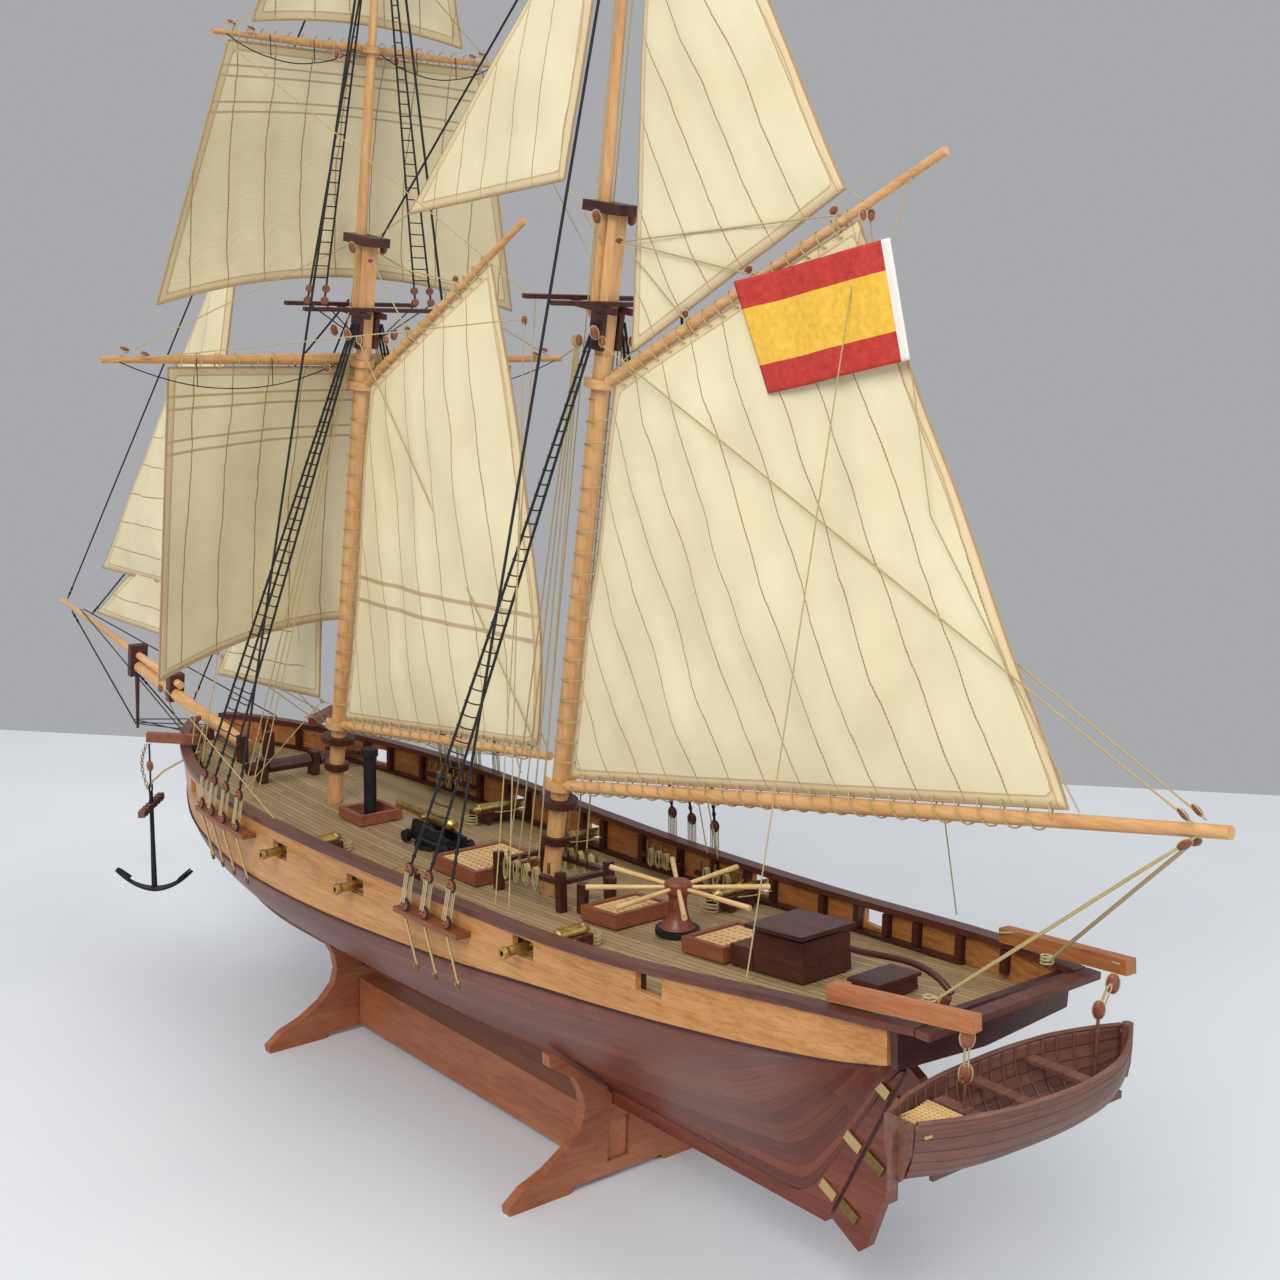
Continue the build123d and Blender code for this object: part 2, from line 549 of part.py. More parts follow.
# ---------------- fife rail, bitts, pin racks and pumps ----------------
FIFE_X = (-28.0, -74.0)
FIFE_Y = 13.0
RACKS = ((-96.0, 30.0), (-56.0, 26.0), (120.0, 40.0), (205.0, 22.0))
with BuildPart() as bitts_and_rails:
    bits = []
    for x in FIFE_X:
        for s in (1, -1):
            bits.append(solid_box(deck_plane(x, s * FIFE_Y), (3.6, 3.6, 17)))
    for s in (1, -1):
        pa, pb = deck_plane(FIFE_X[0], s * FIFE_Y), deck_plane(FIFE_X[1], s * FIFE_Y)
        a, b = pa.from_local_coords(Vector(-2.1, 0, 12.5)), pb.from_local_coords(Vector(2.1, 0, 12.5))
        bits.append(solid_box(Plane(origin=a, x_dir=(0, 1, 0), z_dir=b - a), (3.4, 2.0, (b - a).length)))
    for x, half in ((FIFE_X[0], 11.0), (FIFE_X[1], 11.0)):
        pl = deck_plane(x, 0)
        bits.append(solid_box(Plane(pl.from_local_coords(Vector(0, 0, 11.6)), x_dir=pl.x_dir, z_dir=pl.z_dir), (3.4, 2 * half, 2.0)))
    for s in (1, -1):
        for x, half in RACKS:
            y = side_y(x, rail_z(x) - 9) - BULWARK_T - 5.6
            zc = rail_z(x) - 9.4
            xa, xb = x - half / 2, x + half / 2
            ya = side_y(xa, zc) - BULWARK_T - 6.2
            yb = side_y(xb, zc) - BULWARK_T - 6.2
            a, b = Vector(xa, s * ya, zc), Vector(xb, s * yb, zc)
            bits.append(solid_box(Plane(origin=a, x_dir=(0, 1, 0), z_dir=b - a), (3.2, 1.8, (b - a).length)))
    # bowsprit bitts
    for s in (1, -1):
        bits.append(solid_box(deck_plane(228, s * 8.0), (5.0, 5.0, 15)))
    # windlass bitts
    for s in (1, -1):
        post = solid_box(deck_plane(190, s * 15.5), (6.5, 4.0, 13))
        with Locations(Plane(origin=(190, s * 15.5 - 6, deck_top(190) + 8.2), z_dir=(0, 1, 0)).location):
            hole = Cylinder(1.9, 12, align=(Align.CENTER, Align.CENTER, Align.MIN), mode=Mode.PRIVATE)
        bits.append(post - hole)
    # pumps
    for s in (1, -1):
        bits.append(solid_rod((-81.5, s * 7.5, deck_top(-81.5, 7.5) + 0.7), (-81.5, s * 7.5, deck_top(-81.5) + 13), 2.6))
    add(bits)
bitts_and_rails.part = bitts_and_rails.part.moved(TO_ORIGIN)
bitts_and_rails.part.label = "bitts_and_rails"
export_step(bitts_and_rails.part, "parts/bitts_and_rails.step")

with BuildPart() as belaying_pins:
    bits = []
    for s in (1, -1):
        for k in range(5):
            x = FIFE_X[0] - 8 - 7.2 * k
            z = deck_plane(x, s * FIFE_Y).origin.Z + 14.9
            bits.append(solid_rod((x, s * FIFE_Y, z), (x, s * FIFE_Y, z + 4.6), 0.7))
        for x0, half in RACKS:
            n = int(half // 5)
            for k in range(n):
                x = x0 + (k - (n - 1) / 2) * 5.0
                y = side_y(x, rail_z(x) - 9.4) - BULWARK_T - 6.2
                z = rail_z(x) - 7.2
                bits.append(solid_rod((x, s * y, z), (x, s * y, z + 4.2), 0.7))
    add(bits)
belaying_pins.part = belaying_pins.part.moved(TO_ORIGIN)
belaying_pins.part.label = "belaying_pins"
export_step(belaying_pins.part, "parts/belaying_pins.step")

# ---------------- galley chimney ----------------
with BuildPart() as chimney:
    pl = deck_plane(104, 0, 1.4)
    o = pl.origin
    add([solid_rod((o.X, 0, o.Z), (o.X, 0, o.Z + 31), 3.2), solid_rod((o.X, 0, o.Z + 31.3), (o.X, 0, o.Z + 35), 4.3)])
chimney.part = chimney.part.moved(TO_ORIGIN)
chimney.part.label = "chimney"
export_step(chimney.part, "parts/chimney.step")

# ---------------- windlass barrel ----------------
WIND = (190.0, deck_top(190) + 8.2)
with BuildPart() as windlass_barrel:
    with Locations(Plane(origin=(WIND[0], -24, WIND[1]), z_dir=(0, 1, 0)).location):
        Cylinder(1.5, 48, align=(Align.CENTER, Align.CENTER, Align.MIN))
    for y0, y1 in ((-12.6, 12.6), (18.4, 24), (-24, -18.4)):
        with BuildSketch(Plane(origin=(WIND[0], y0, WIND[1]), z_dir=(0, 1, 0))):
            RegularPolygon(3.7, 8)
        extrude(amount=y1 - y0)
windlass_barrel.part = windlass_barrel.part.moved(TO_ORIGIN)
windlass_barrel.part.label = "windlass_barrel"
export_step(windlass_barrel.part, "parts/windlass_barrel.step")

# ---------------- capstan ----------------
CAP_Z = deck_top(CAPSTAN_X) + 0.9
with BuildPart() as capstan_base:
    with Locations((CAPSTAN_X, 0, CAP_Z)):
        Cylinder(9.0, 2.2, align=(Align.CENTER, Align.CENTER, Align.MIN))
        Cylinder(2.0, 6.2, align=(Align.CENTER, Align.CENTER, Align.MIN))
capstan_base.part = capstan_base.part.moved(TO_ORIGIN)
capstan_base.part.label = "capstan_base"
export_step(capstan_base.part, "parts/capstan_base.step")

with BuildPart() as capstan_drum:
    with BuildSketch(Plane.XZ.offset(0)):
        with BuildLine():
            Polyline((0, 7.2), (0, 21.6), (4.6, 21.6), (5.6, 20.6), (5.6, 17.2), (3.9, 16.2))
            Spline((3.9, 16.2), (3.8, 11.0), (5.0, 6.0), (7.4, 2.5))
            Polyline((7.4, 2.5), (2.3, 2.5), (2.3, 7.2), (0, 7.2))
        make_face()
    revolve(axis=Axis.Z)
    with PolarLocations(0, 8, start_angle=8):
        with Locations(Location((0, 0, 19.0), (0, 90, 0))):
            Cylinder(0.95, 8, align=(Align.CENTER, Align.CENTER, Align.MIN), mode=Mode.SUBTRACT)
capstan_drum.part = capstan_drum.part.moved(Location((CAPSTAN_X, 0, CAP_Z)))
capstan_drum.part = capstan_drum.part.moved(TO_ORIGIN)
capstan_drum.part.label = "capstan_drum"
export_step(capstan_drum.part, "parts/capstan_drum.step")

with BuildPart() as capstan_bars:
    bits = []
    for k in range(8):
        a = radians(8 + 45 * k)
        z = CAP_Z + 19.0
        bits.append(solid_taper((CAPSTAN_X + 2.6 * cos(a), 2.6 * sin(a), z), (CAPSTAN_X + 37 * cos(a), 37 * sin(a), z), 0.8, 1.15))
    # each bar is square-ended and full size outside the head
    add(bits)
capstan_bars.part = capstan_bars.part.moved(TO_ORIGIN)
capstan_bars.part.label = "capstan_bars"
export_step(capstan_bars.part, "parts/capstan_bars.step")

# ---------------- broadside guns ----------------
GUN_Y = 26.0     # breech distance inboard of the bulwark face
with BuildPart() as gun_carriages:
    bits = []
    for s in (1, -1):
        for x in GUNS_X:
            yo = side_y(x, deck_z(x) + 5) - BULWARK_T - 9.5
            zk = max(deck_top(x, yo - 18), deck_top(x, yo)) + 0.5
            for dx in (-4.2, 4.2):
                bits.append(solid_box(Plane(origin=(x + dx, s * (yo - 9), zk + 1.9)), (1.8, 19, 4.0)))
            bits.append(solid_box(Plane(origin=(x, s * (yo - 9), zk + 2.0)), (6.4, 16, 1.2)))
            for dy in (-3.5, -14.5):
                for dx in (-6.3, 6.3):
                    with Locations(Plane(origin=(x + dx, s * (yo + dy), zk + 2.0), z_dir=(1, 0, 0)).location):
                        bits.append(Cylinder(2.0, 1.8, mode=Mode.PRIVATE))
    add(bits)
gun_carriages.part = gun_carriages.part.moved(TO_ORIGIN)
gun_carriages.part.label = "gun_carriages"
export_step(gun_carriages.part, "parts/gun_carriages.step")

GUN_PROFILE = [(0, 0), (1.2, 0), (1.4, 1.0), (2.9, 2.2), (3.2, 3.4), (2.9, 4.2), (2.75, 15), (2.9, 15.4), (2.4, 16.4),
               (1.95, 39), (2.5, 40.6), (2.3, 42), (1.1, 42), (1.1, 24), (0, 24)]
with BuildPart() as gun_barrels:
    bits = []
    for s in (1, -1):
        for x in GUNS_X:
            yo = side_y(x, deck_z(x) + 5) - BULWARK_T - 9.5
            zk = max(deck_top(x, yo - 18), deck_top(x, yo)) + 0.5
            with BuildSketch(Plane.XZ, mode=Mode.PRIVATE) as prof:
                with BuildLine():
                    Polyline(*GUN_PROFILE, close=True)
                make_face()
            g = revolve(prof.sketch, axis=Axis.Z, mode=Mode.PRIVATE)
            pl = Plane(origin=(x, s * (yo - 20), zk + 6.7), z_dir=(0, s, -0.03))
            bits.append(g.moved(pl.location))
    add(bits)
gun_barrels.part = gun_barrels.part.moved(TO_ORIGIN)
gun_barrels.part.label = "gun_barrels"
export_step(gun_barrels.part, "parts/gun_barrels.step")

# ---------------- pivot gun amidships ----------------
PIV_X = 46.0
PIV_Z = deck_top(PIV_X) + 0.6
with BuildPart() as pivot_carriage:
    bits = []
    with Locations((PIV_X, 0, PIV_Z)):
        bits.append(Cylinder(9.0, 1.6, align=(Align.CENTER, Align.CENTER, Align.MIN), mode=Mode.PRIVATE))
    for s in (1, -1):
        bits.append(solid_box(Plane(origin=(PIV_X - 4, s * 4.6, PIV_Z + 2.3)), (40, 2.2, 3.2)))
        with BuildSketch(Plane.XZ.offset(-s * 4.6 - 1.1), mode=Mode.PRIVATE) as cheek:
            with BuildLine():
                z0 = PIV_Z + 5.8
                Polyline((PIV_X - 21, z0), (PIV_X - 21, z0 + 2.2), (PIV_X - 8, z0 + 3.6), (PIV_X - 5, z0 + 6.4), (PIV_X + 9, z0 + 6.4),
                         (PIV_X + 11, z0), close=True)
            make_face()
            with Locations((PIV_X + 2, PIV_Z + 14.2)):
                Circle(1.55, mode=Mode.SUBTRACT)
        bits.append(extrude(cheek.sketch, amount=2.2, mode=Mode.PRIVATE))
    for s in (1, -1):
        for dx in (-20, 12):
            with Locations(Plane(origin=(PIV_X + dx, s * 7.6, PIV_Z + 3.4), z_dir=(0, 1, 0)).location):
                bits.append(Cylinder(2.9, 2.6, mode=Mode.PRIVATE))
    bits.append(solid_box(Plane(origin=(PIV_X - 12, 0, PIV_Z + 2.4)), (12, 6.6, 2.4)))
    add(bits)
pivot_carriage.part = pivot_carriage.part.moved(TO_ORIGIN)
pivot_carriage.part.label = "pivot_carriage"
export_step(pivot_carriage.part, "parts/pivot_carriage.step")

PGUN_PROFILE = [(0, 0), (1.5, 0), (1.7, 1.4), (3.0, 3.0), (3.4, 5), (3.1, 6), (2.9, 22), (2.6, 24), (2.0, 46), (2.6, 48.4),
                (2.3, 50), (1.2, 50), (1.2, 26), (0, 26)]
with BuildPart() as pivot_barrel:
    with BuildSketch(Plane.XZ):
        with BuildLine():
            Polyline(*PGUN_PROFILE, close=True)
        make_face()
    revolve(axis=Axis.Z)
    with Locations(Location((0, 0, 22), (90, 0, 0))):
        Cylinder(1.25, 11.0)
pivot_barrel.part = pivot_barrel.part.moved(Plane(origin=(PIV_X + 2 - 22, 0, PIV_Z + 14.2), z_dir=(1, 0, 0)).location)
pivot_barrel.part = pivot_barrel.part.moved(TO_ORIGIN)
pivot_barrel.part.label = "pivot_barrel"
export_step(pivot_barrel.part, "parts/pivot_barrel.step")


# ---------------- lower masts ----------------
def mast_point(f, z):
    return (f(z), 0, z)


HOUND = 348.0
with BuildPart() as main_lower_mast:
    z0 = 63.0
    a, b = Vector(*mast_point(main_x, z0)), Vector(*mast_point(main_x, HOUND))
    cone = solid_taper(a, b, MAST_R, 3.75)
    pl = Plane(origin=b, x_dir=(1, 0, MAIN_RAKE), z_dir=b - a)
    head = solid_box(pl, (MASTHEAD, MASTHEAD, (MAIN_CAP_Z - 2.2 - HOUND) * 1.011))
    add([cone, head])
main_lower_mast.part = main_lower_mast.part.moved(TO_ORIGIN)
main_lower_mast.part.label = "main_lower_mast"
export_step(main_lower_mast.part, "parts/main_lower_mast.step")

with BuildPart() as fore_lower_mast:
    a, b = Vector(*mast_point(fore_x, z0)), Vector(*mast_point(fore_x, HOUND))
    cone = solid_taper(a, b, MAST_R, 3.75)
    pl = Plane(origin=b, x_dir=(1, 0, FORE_RAKE), z_dir=b - a)
    head = solid_box(pl, (MASTHEAD, MASTHEAD, (FORE_CAP_Z - 2.2 - HOUND) * 1.012))
    add([cone, head])
fore_lower_mast.part = fore_lower_mast.part.moved(TO_ORIGIN)
fore_lower_mast.part.label = "fore_lower_mast"
export_step(fore_lower_mast.part, "parts/fore_lower_mast.step")

with BuildPart() as topmasts:
    bits = []
    for f, top, fid in ((main_top_x, MAIN_TOP_Z, 363.0), (fore_top_x, FORE_TOP_Z, 360.0)):
        bits.append(solid_taper(mast_point(f, fid), mast_point(f, top), TOPMAST_R, 1.3))
    add(bits)
topmasts.part = topmasts.part.moved(TO_ORIGIN)
topmasts.part.label = "topmasts"
export_step(topmasts.part, "parts/topmasts.step")

# ---------------- caps, boom rests, mast bands, jibboom irons and dolphin striker ----------------
BS_IN, BS_CAP = (236.0, 123.8), (384.0, 147.2)       # bowsprit axis ends
BS_DIR = Vector(BS_CAP[0] - BS_IN[0], 0, BS_CAP[1] - BS_IN[1]).normalized()
JIB_OFF = 7.4                                        # jibboom axis above the bowsprit axis
BS_R, JIB_R = 4.0, 2.3
UPN = Vector(-BS_DIR.Z, 0, BS_DIR.X)


def sprit(d, up=0.0):
    p = Vector(BS_IN[0], 0, BS_IN[1]) + BS_DIR * d + UPN * up
    return p


with BuildPart() as spar_fittings:
    bits = []
    for f, ft, zc, rake in ((main_x, main_top_x, MAIN_CAP_Z, MAIN_RAKE), (fore_x, fore_top_x, FORE_CAP_Z, FORE_RAKE)):
        pl = Plane(origin=(f(zc) + 4.2, 0, zc - 1.8), x_dir=(1, 0, -rake), z_dir=(rake, 0, 1))
        cap = solid_box(pl, (24, 11.5, 4.2))
        hole = solid_rod(mast_point(ft, zc - 12), mast_point(ft, zc + 12), TOPMAST_R + 0.1)
        bits.append(cap - hole)
    # boom rest collars
    for f, foot, zc in ((main_x, MAIN_FOOT, 155.5), (fore_x, FORE_FOOT, 147.0)):
        d = Vector(f(zc + 1) - f(zc), 0, 1)
        ring = solid_rod(Vector(f(zc), 0, zc), Vector(f(zc), 0, zc) + d * 3.0, 8.4) - \
            solid_rod(Vector(f(zc - 2), 0, zc - 2), Vector(f(zc + 6), 0, zc + 6), MAST_R + 0.05)
        bits.append(ring)
    for f, zc in ((main_x, 138.0), (fore_x, 132.0)):
        ring = solid_rod(mast_point(f, zc), mast_point(f, zc + 3.4), 6.2) - \
            solid_rod(mast_point(f, zc - 2), mast_point(f, zc + 6), MAST_R + 0.1)
        bits.append(ring)
    # bowsprit cap and jibboom heel saddle
    L = (Vector(BS_CAP[0], 0, BS_CAP[1]) - Vector(BS_IN[0], 0, BS_IN[1])).length
    capb = solid_box(Plane(origin=sprit(L - 3.0, 4.0), x_dir=(0, 1, 0), z_dir=BS_DIR), (11, 20, 4.4)) - \
        solid_rod(sprit(L - 12), sprit(L + 12), 3.45) - solid_rod(sprit(L - 12, JIB_OFF), sprit(L + 12, JIB_OFF), JIB_R + 0.1)
    bits.append(capb)
    sad = solid_box(Plane(origin=sprit(L - 57, 4.0), x_dir=(0, 1, 0), z_dir=BS_DIR), (9.5, 17, 5)) - \
        solid_rod(sprit(L - 70), sprit(L - 40), 3.85) - solid_rod(sprit(L - 70, JIB_OFF), sprit(L - 40, JIB_OFF), JIB_R + 0.1)
    bits.append(sad)
    # dolphin striker hanging under the cap
    o = sprit(L - 0.8, -6.3)
    bits.append(solid_taper(o, (o.X + 2.4, 0, o.Z - 34), 1.5, 0.9))
    add(bits)
spar_fittings.part = spar_fittings.part.moved(TO_ORIGIN)
spar_fittings.part.label = "spar_fittings"
export_step(spar_fittings.part, "parts/spar_fittings.step")

# ---------------- crosstrees and trestletrees ----------------
with BuildPart() as crosstrees:
    bits = []
    for f, ft, zc, half, rake in ((main_x, main_top_x, 365.5, 32.0, MAIN_RAKE), (fore_x, fore_top_x, 363.0, 36.0, FORE_RAKE)):
        base = Plane(origin=(f(zc) + 3.0, 0, zc), x_dir=(1, 0, -rake), z_dir=(rake, 0, 1))
        for s in (1, -1):
            bits.append(solid_box(Plane(base.from_local_coords(Vector(1.0, s * 4.4, 0)), x_dir=base.x_dir, z_dir=base.z_dir), (28, 2.4, 2.6)))
            bits.append(solid_box(Plane(base.from_local_coords(Vector(-3.0, s * 4.4, -15)), x_dir=base.x_dir, z_dir=base.z_dir), (8, 2.2, 14.7)))
        for dx in (-7.6, 10.6):
            bits.append(solid_box(Plane(base.from_local_coords(Vector(dx, 0, 2.9)), x_dir=base.x_dir, z_dir=base.z_dir), (2.6, 2 * half, 1.8)))
    add(bits)
crosstrees.part = crosstrees.part.moved(TO_ORIGIN)
crosstrees.part.label = "crosstrees"
export_step(crosstrees.part, "parts/crosstrees.step")

# ---------------- bowsprit and jibboom ----------------
with BuildPart() as bowsprit:
    add([solid_taper(sprit(0), sprit(L - 4.0), BS_R, 3.5), solid_rod(sprit(L - 3.9), sprit(L + 2.2), 3.35)])
bowsprit.part = bowsprit.part.moved(TO_ORIGIN)
bowsprit.part.label = "bowsprit"
export_step(bowsprit.part, "parts/bowsprit.step")

JIB_TIP = 176.0
with BuildPart() as jibboom:
    add([solid_rod(sprit(L - 62, JIB_OFF), sprit(L + 3, JIB_OFF), JIB_R), solid_taper(sprit(L + 3.1, JIB_OFF), sprit(L + 121, JIB_OFF), JIB_R, 1.3)])
jibboom.part = jibboom.part.moved(TO_ORIGIN)
jibboom.part.label = "jibboom"
export_step(jibboom.part, "parts/jibboom.step")

# ---------------- standing rigging: shrouds, ratlines, lanyards, stays ----------------
STAYS = {
    "fore_stay": ((fore_x(364) + 10.5, 0, 369.5), (304, 0, 139.6)),
    "jib_stay": ((fore_x(364) + 16.0, 0, 370.5), (452, 0, 170.6)),
    "flying_jib_stay": ((fore_top_x(575) + 2.4, 0, 575), (492, 0, 176.0)),
    "main_topmast_stay": ((fore_x(FORE_CAP_Z) - 10.5, 0, 399.5), (main_top_x(556) + 2.4, 0, 556)),
    "bobstay": ((293.5, 0, 112), (381, 0, 141.5)),
    "martingale": ((388.8, 0, 108.8), (486, 0, 168.0)),
}
SHROUDS = []
for s_ in (1, -1):
    for x_ in MAIN_DE[:2]:
        SHROUDS.append((deadeye_points(x_, s_)[1], (main_x(361) - 1.5 + (x_ + 53) * 0.15, s_ * 6.8, 361)))
    SHROUDS.append((deadeye_points(MAIN_DE[2], s_)[1], (main_top_x(560), s_ * 2.6, 560)))
    for x_ in FORE_DE[:3]:
        SHROUDS.append((deadeye_points(x_, s_)[1], (fore_x(359) - 1.5 + (x_ - 132) * 0.15, s_ * 6.8, 359)))
    SHROUDS.append((deadeye_points(FORE_DE[3], s_)[1], (fore_top_x(571), s_ * 2.6, 571)))


def along(a, b, t):
    return tuple(a[i] + (b[i] - a[i]) * t for i in range(3))


def at_z(line, z):
    a, b = line
    return along(a, b, (z - a[2]) / (b[2] - a[2]))


TOP_SHROUDS = [((fore_x(363) - 4.6, s_ * y_, 368.6), (fore_top_x(546) + dx_, s_ * 2.9, 546)) for s_ in (1, -1) for y_, dx_ in ((34.0, -1.6), (25.0, 1.0))]

with BuildPart() as standing_rigging:
    bits = []
    for a, b in TOP_SHROUDS:
        bits.append(solid_rod(a, b, 0.35))
    for a, b in SHROUDS:
        start = along(a, b, 3.2 / (b[2] - a[2]))
        bits.append(solid_rod(start, b, CABLE))
    for a, b in STAYS.values():
        bits.append(solid_rod(a, b, CABLE))
    for s in (1, -1):
        for group, top in ((SHROUDS[0:2] if s == 1 else SHROUDS[7:9], 350), (SHROUDS[3:6] if s == 1 else SHROUDS[10:13], 348)):
            z = 156.0
            while z < top:
                p, q = at_z(group[0], z), at_z(group[-1], z)
                bits.append(solid_rod((p[0], p[1] + s * 1.1, p[2]), (q[0], q[1] + s * 1.1, q[2]), 0.22))
                z += 13.0
        for xs in (MAIN_DE, FORE_DE):
            for x in xs:
                lo, hi = deadeye_points(x, s)
                for dx in (-1.3, 1.3):
                    bits.append(solid_rod((lo[0] + dx * 0.9, lo[1] , lo[2] + 2.6), (hi[0] + dx * 0.9, hi[1], hi[2] - 2.6), 0.25))
    for s in (1, -1):
        bits.append(solid_rod((386.5, s * 1.6, 110), (296, s * 9.5, 124), 0.35))
    add(bits)
standing_rigging.part = standing_rigging.part.moved(TO_ORIGIN)
standing_rigging.part.label = "standing_rigging"
export_step(standing_rigging.part, "parts/standing_rigging.step")

# ---------------- boom and gaff geometry ----------------
BOOM0 = (main_x(165.0) - 5.5, 165.0)
GAFF0 = (main_x(337.0) - 5.5, 337.8)
FBOOM0 = (fore_x(156.5) - 5.5, 156.5)
FGAFF0 = (fore_x(330.0) - 5.5, 330.8)


def on_spar(start, rise, d, n=0.0, y=0.0):
    a = radians(rise)
    return Vector(start[0] - d * cos(a) + n * sin(a), y, start[1] + d * sin(a) + n * cos(a))


def jaws(f, zc, start, rise, r_spar):
    """Collar round the mast on its axis, open forward, with the cheek that takes the spar."""
    p, q = Vector(f(zc - 1.8), 0, zc - 1.8), Vector(f(zc + 1.8), 0, zc + 1.8)
    ring = solid_rod(p, q, 6.9) - solid_rod(Vector(f(zc - 6), 0, zc - 6), Vector(f(zc + 6), 0, zc + 6), MAST_R + 0.4)
    front = solid_box(Plane(origin=(f(zc) + 7.0, 0, zc - 5)), (8, 6.6, 12))
    return ring - front


main_axis = Vector(MAIN_RAKE, 0, 1).normalized()
with BuildPart() as main_boom:
    a, m, b = (on_spar(BOOM0, BOOM_RISE, d) for d in (0.0, 150.0, BOOM_LEN))
    add([jaws(main_x, 165.0, BOOM0, BOOM_RISE, 2.6) + solid_taper(a, m, 2.6, 3.0) + solid_taper(m, b, 3.0, 2.1)])
main_boom.part = main_boom.part.moved(TO_ORIGIN)
main_boom.part.label = "main_boom"
export_step(main_boom.part, "parts/main_boom.step")

with BuildPart() as main_gaff:
    a, b = on_spar(GAFF0, GAFF_RISE, 0.0), on_spar(GAFF0, GAFF_RISE, GAFF_LEN)
    add([jaws(main_x, 337.0, GAFF0, GAFF_RISE, 2.3) + solid_taper(a, b, 2.4, 1.5)])
main_gaff.part = main_gaff.part.moved(TO_ORIGIN)
main_gaff.part.label = "main_gaff"
export_step(main_gaff.part, "parts/main_gaff.step")

with BuildPart() as fore_boom:
    a, b = on_spar(FBOOM0, FBOOM_RISE, 0.0), on_spar(FBOOM0, FBOOM_RISE, FBOOM_LEN)
    add([jaws(fore_x, 156.5, FBOOM0, FBOOM_RISE, 2.4) + solid_taper(a, b, 2.6, 1.9)])
fore_boom.part = fore_boom.part.moved(TO_ORIGIN)
fore_boom.part.label = "fore_boom"
export_step(fore_boom.part, "parts/fore_boom.step")

with BuildPart() as fore_gaff:
    a, b = on_spar(FGAFF0, FGAFF_RISE, 0.0), on_spar(FGAFF0, FGAFF_RISE, FGAFF_LEN)
    add([jaws(fore_x, 330.0, FGAFF0, FGAFF_RISE, 2.1) + solid_taper(a, b, 2.3, 1.4)])
fore_gaff.part = fore_gaff.part.moved(TO_ORIGIN)
fore_gaff.part.label = "fore_gaff"
export_step(fore_gaff.part, "parts/fore_gaff.step")


def quad(tack, clew, peak, throat):
    return [(p.X, p.Z) for p in (tack, clew, peak, throat)]


MAINSAIL = quad(on_spar(BOOM0, BOOM_RISE, 1.5, 3.8), on_spar(BOOM0, BOOM_RISE, 262, 3.9), on_spar(GAFF0, GAFF_RISE, 146, -3.2),
                on_spar(GAFF0, GAFF_RISE, 3.0, -3.2))
FORESAIL = quad(on_spar(FBOOM0, FBOOM_RISE, 1.5, 3.4), on_spar(FBOOM0, FBOOM_RISE, 167, 3.4), on_spar(FGAFF0, FGAFF_RISE, 118, -3.0),
                on_spar(FGAFF0, FGAFF_RISE, 3.0, -3.0))
TOPSAIL_GAFF = [(-101.0, 349.5), (-214.4, 406.5), (main_top_x(571) - 6.5, 571.0)]
TOP_STAYSAIL = [(62.0, 409.0), (-56.4, 417.8), (-89.0, 541.0)]
JIBS = [[(426, 204.0), (286, 206), (218, 424)], [(440, 173.4), (268, 172), (192, 315)], [(272, 160), (154.6, 166.5), (139, 318)]]

with BuildPart() as mainsail:
    with BuildSketch(Plane.XZ):
        with BuildLine():
            Polyline(*MAINSAIL, close=True)
        make_face()
    extrude(amount=SAIL_T / 2, both=True)
mainsail.part = mainsail.part.moved(TO_ORIGIN)
mainsail.part.label = "mainsail"
export_step(mainsail.part, "parts/mainsail.step")

with BuildPart() as gaff_topsail:
    with BuildSketch(Plane.XZ):
        with BuildLine():
            Polyline(*TOPSAIL_GAFF, close=True)
        make_face()
    extrude(amount=SAIL_T / 2, both=True)
gaff_topsail.part = gaff_topsail.part.moved(TO_ORIGIN)
gaff_topsail.part.label = "gaff_topsail"
export_step(gaff_topsail.part, "parts/gaff_topsail.step")

with BuildPart() as foresail:
    with BuildSketch(Plane.XZ):
        with BuildLine():
            Polyline(*FORESAIL, close=True)
        make_face()
    extrude(amount=SAIL_T / 2, both=True)
foresail.part = foresail.part.moved(TO_ORIGIN)
foresail.part.label = "foresail"
export_step(foresail.part, "parts/foresail.step")

with BuildPart() as staysails:
    bits = []
    for tri, y in zip([TOP_STAYSAIL] + JIBS, (0.0, 2.4, 1.3, 0.0)):
        with BuildSketch(Plane.XZ.offset(-y), mode=Mode.PRIVATE) as tri_sk:
            with BuildLine():
                Polyline(*tri, close=True)
            make_face()
        bits.append(extrude(tri_sk.sketch, amount=SAIL_T / 2, both=True, mode=Mode.PRIVATE))
    add(bits)
staysails.part = staysails.part.moved(TO_ORIGIN)
staysails.part.label = "staysails"
export_step(staysails.part, "parts/staysails.step")

with BuildPart() as ensign:
    with BuildSketch(Plane.XZ.offset(-6.0)):
        with BuildLine():
            Polyline((-166.7, 376.0), (-240.5, 389.2), (-251.3, 350.1), (-183.3, 336.6), close=True)
        make_face()
    extrude(amount=SAIL_T / 2, both=True)
ensign.part = ensign.part.moved(TO_ORIGIN)
ensign.part.label = "ensign"
export_step(ensign.part, "parts/ensign.step")

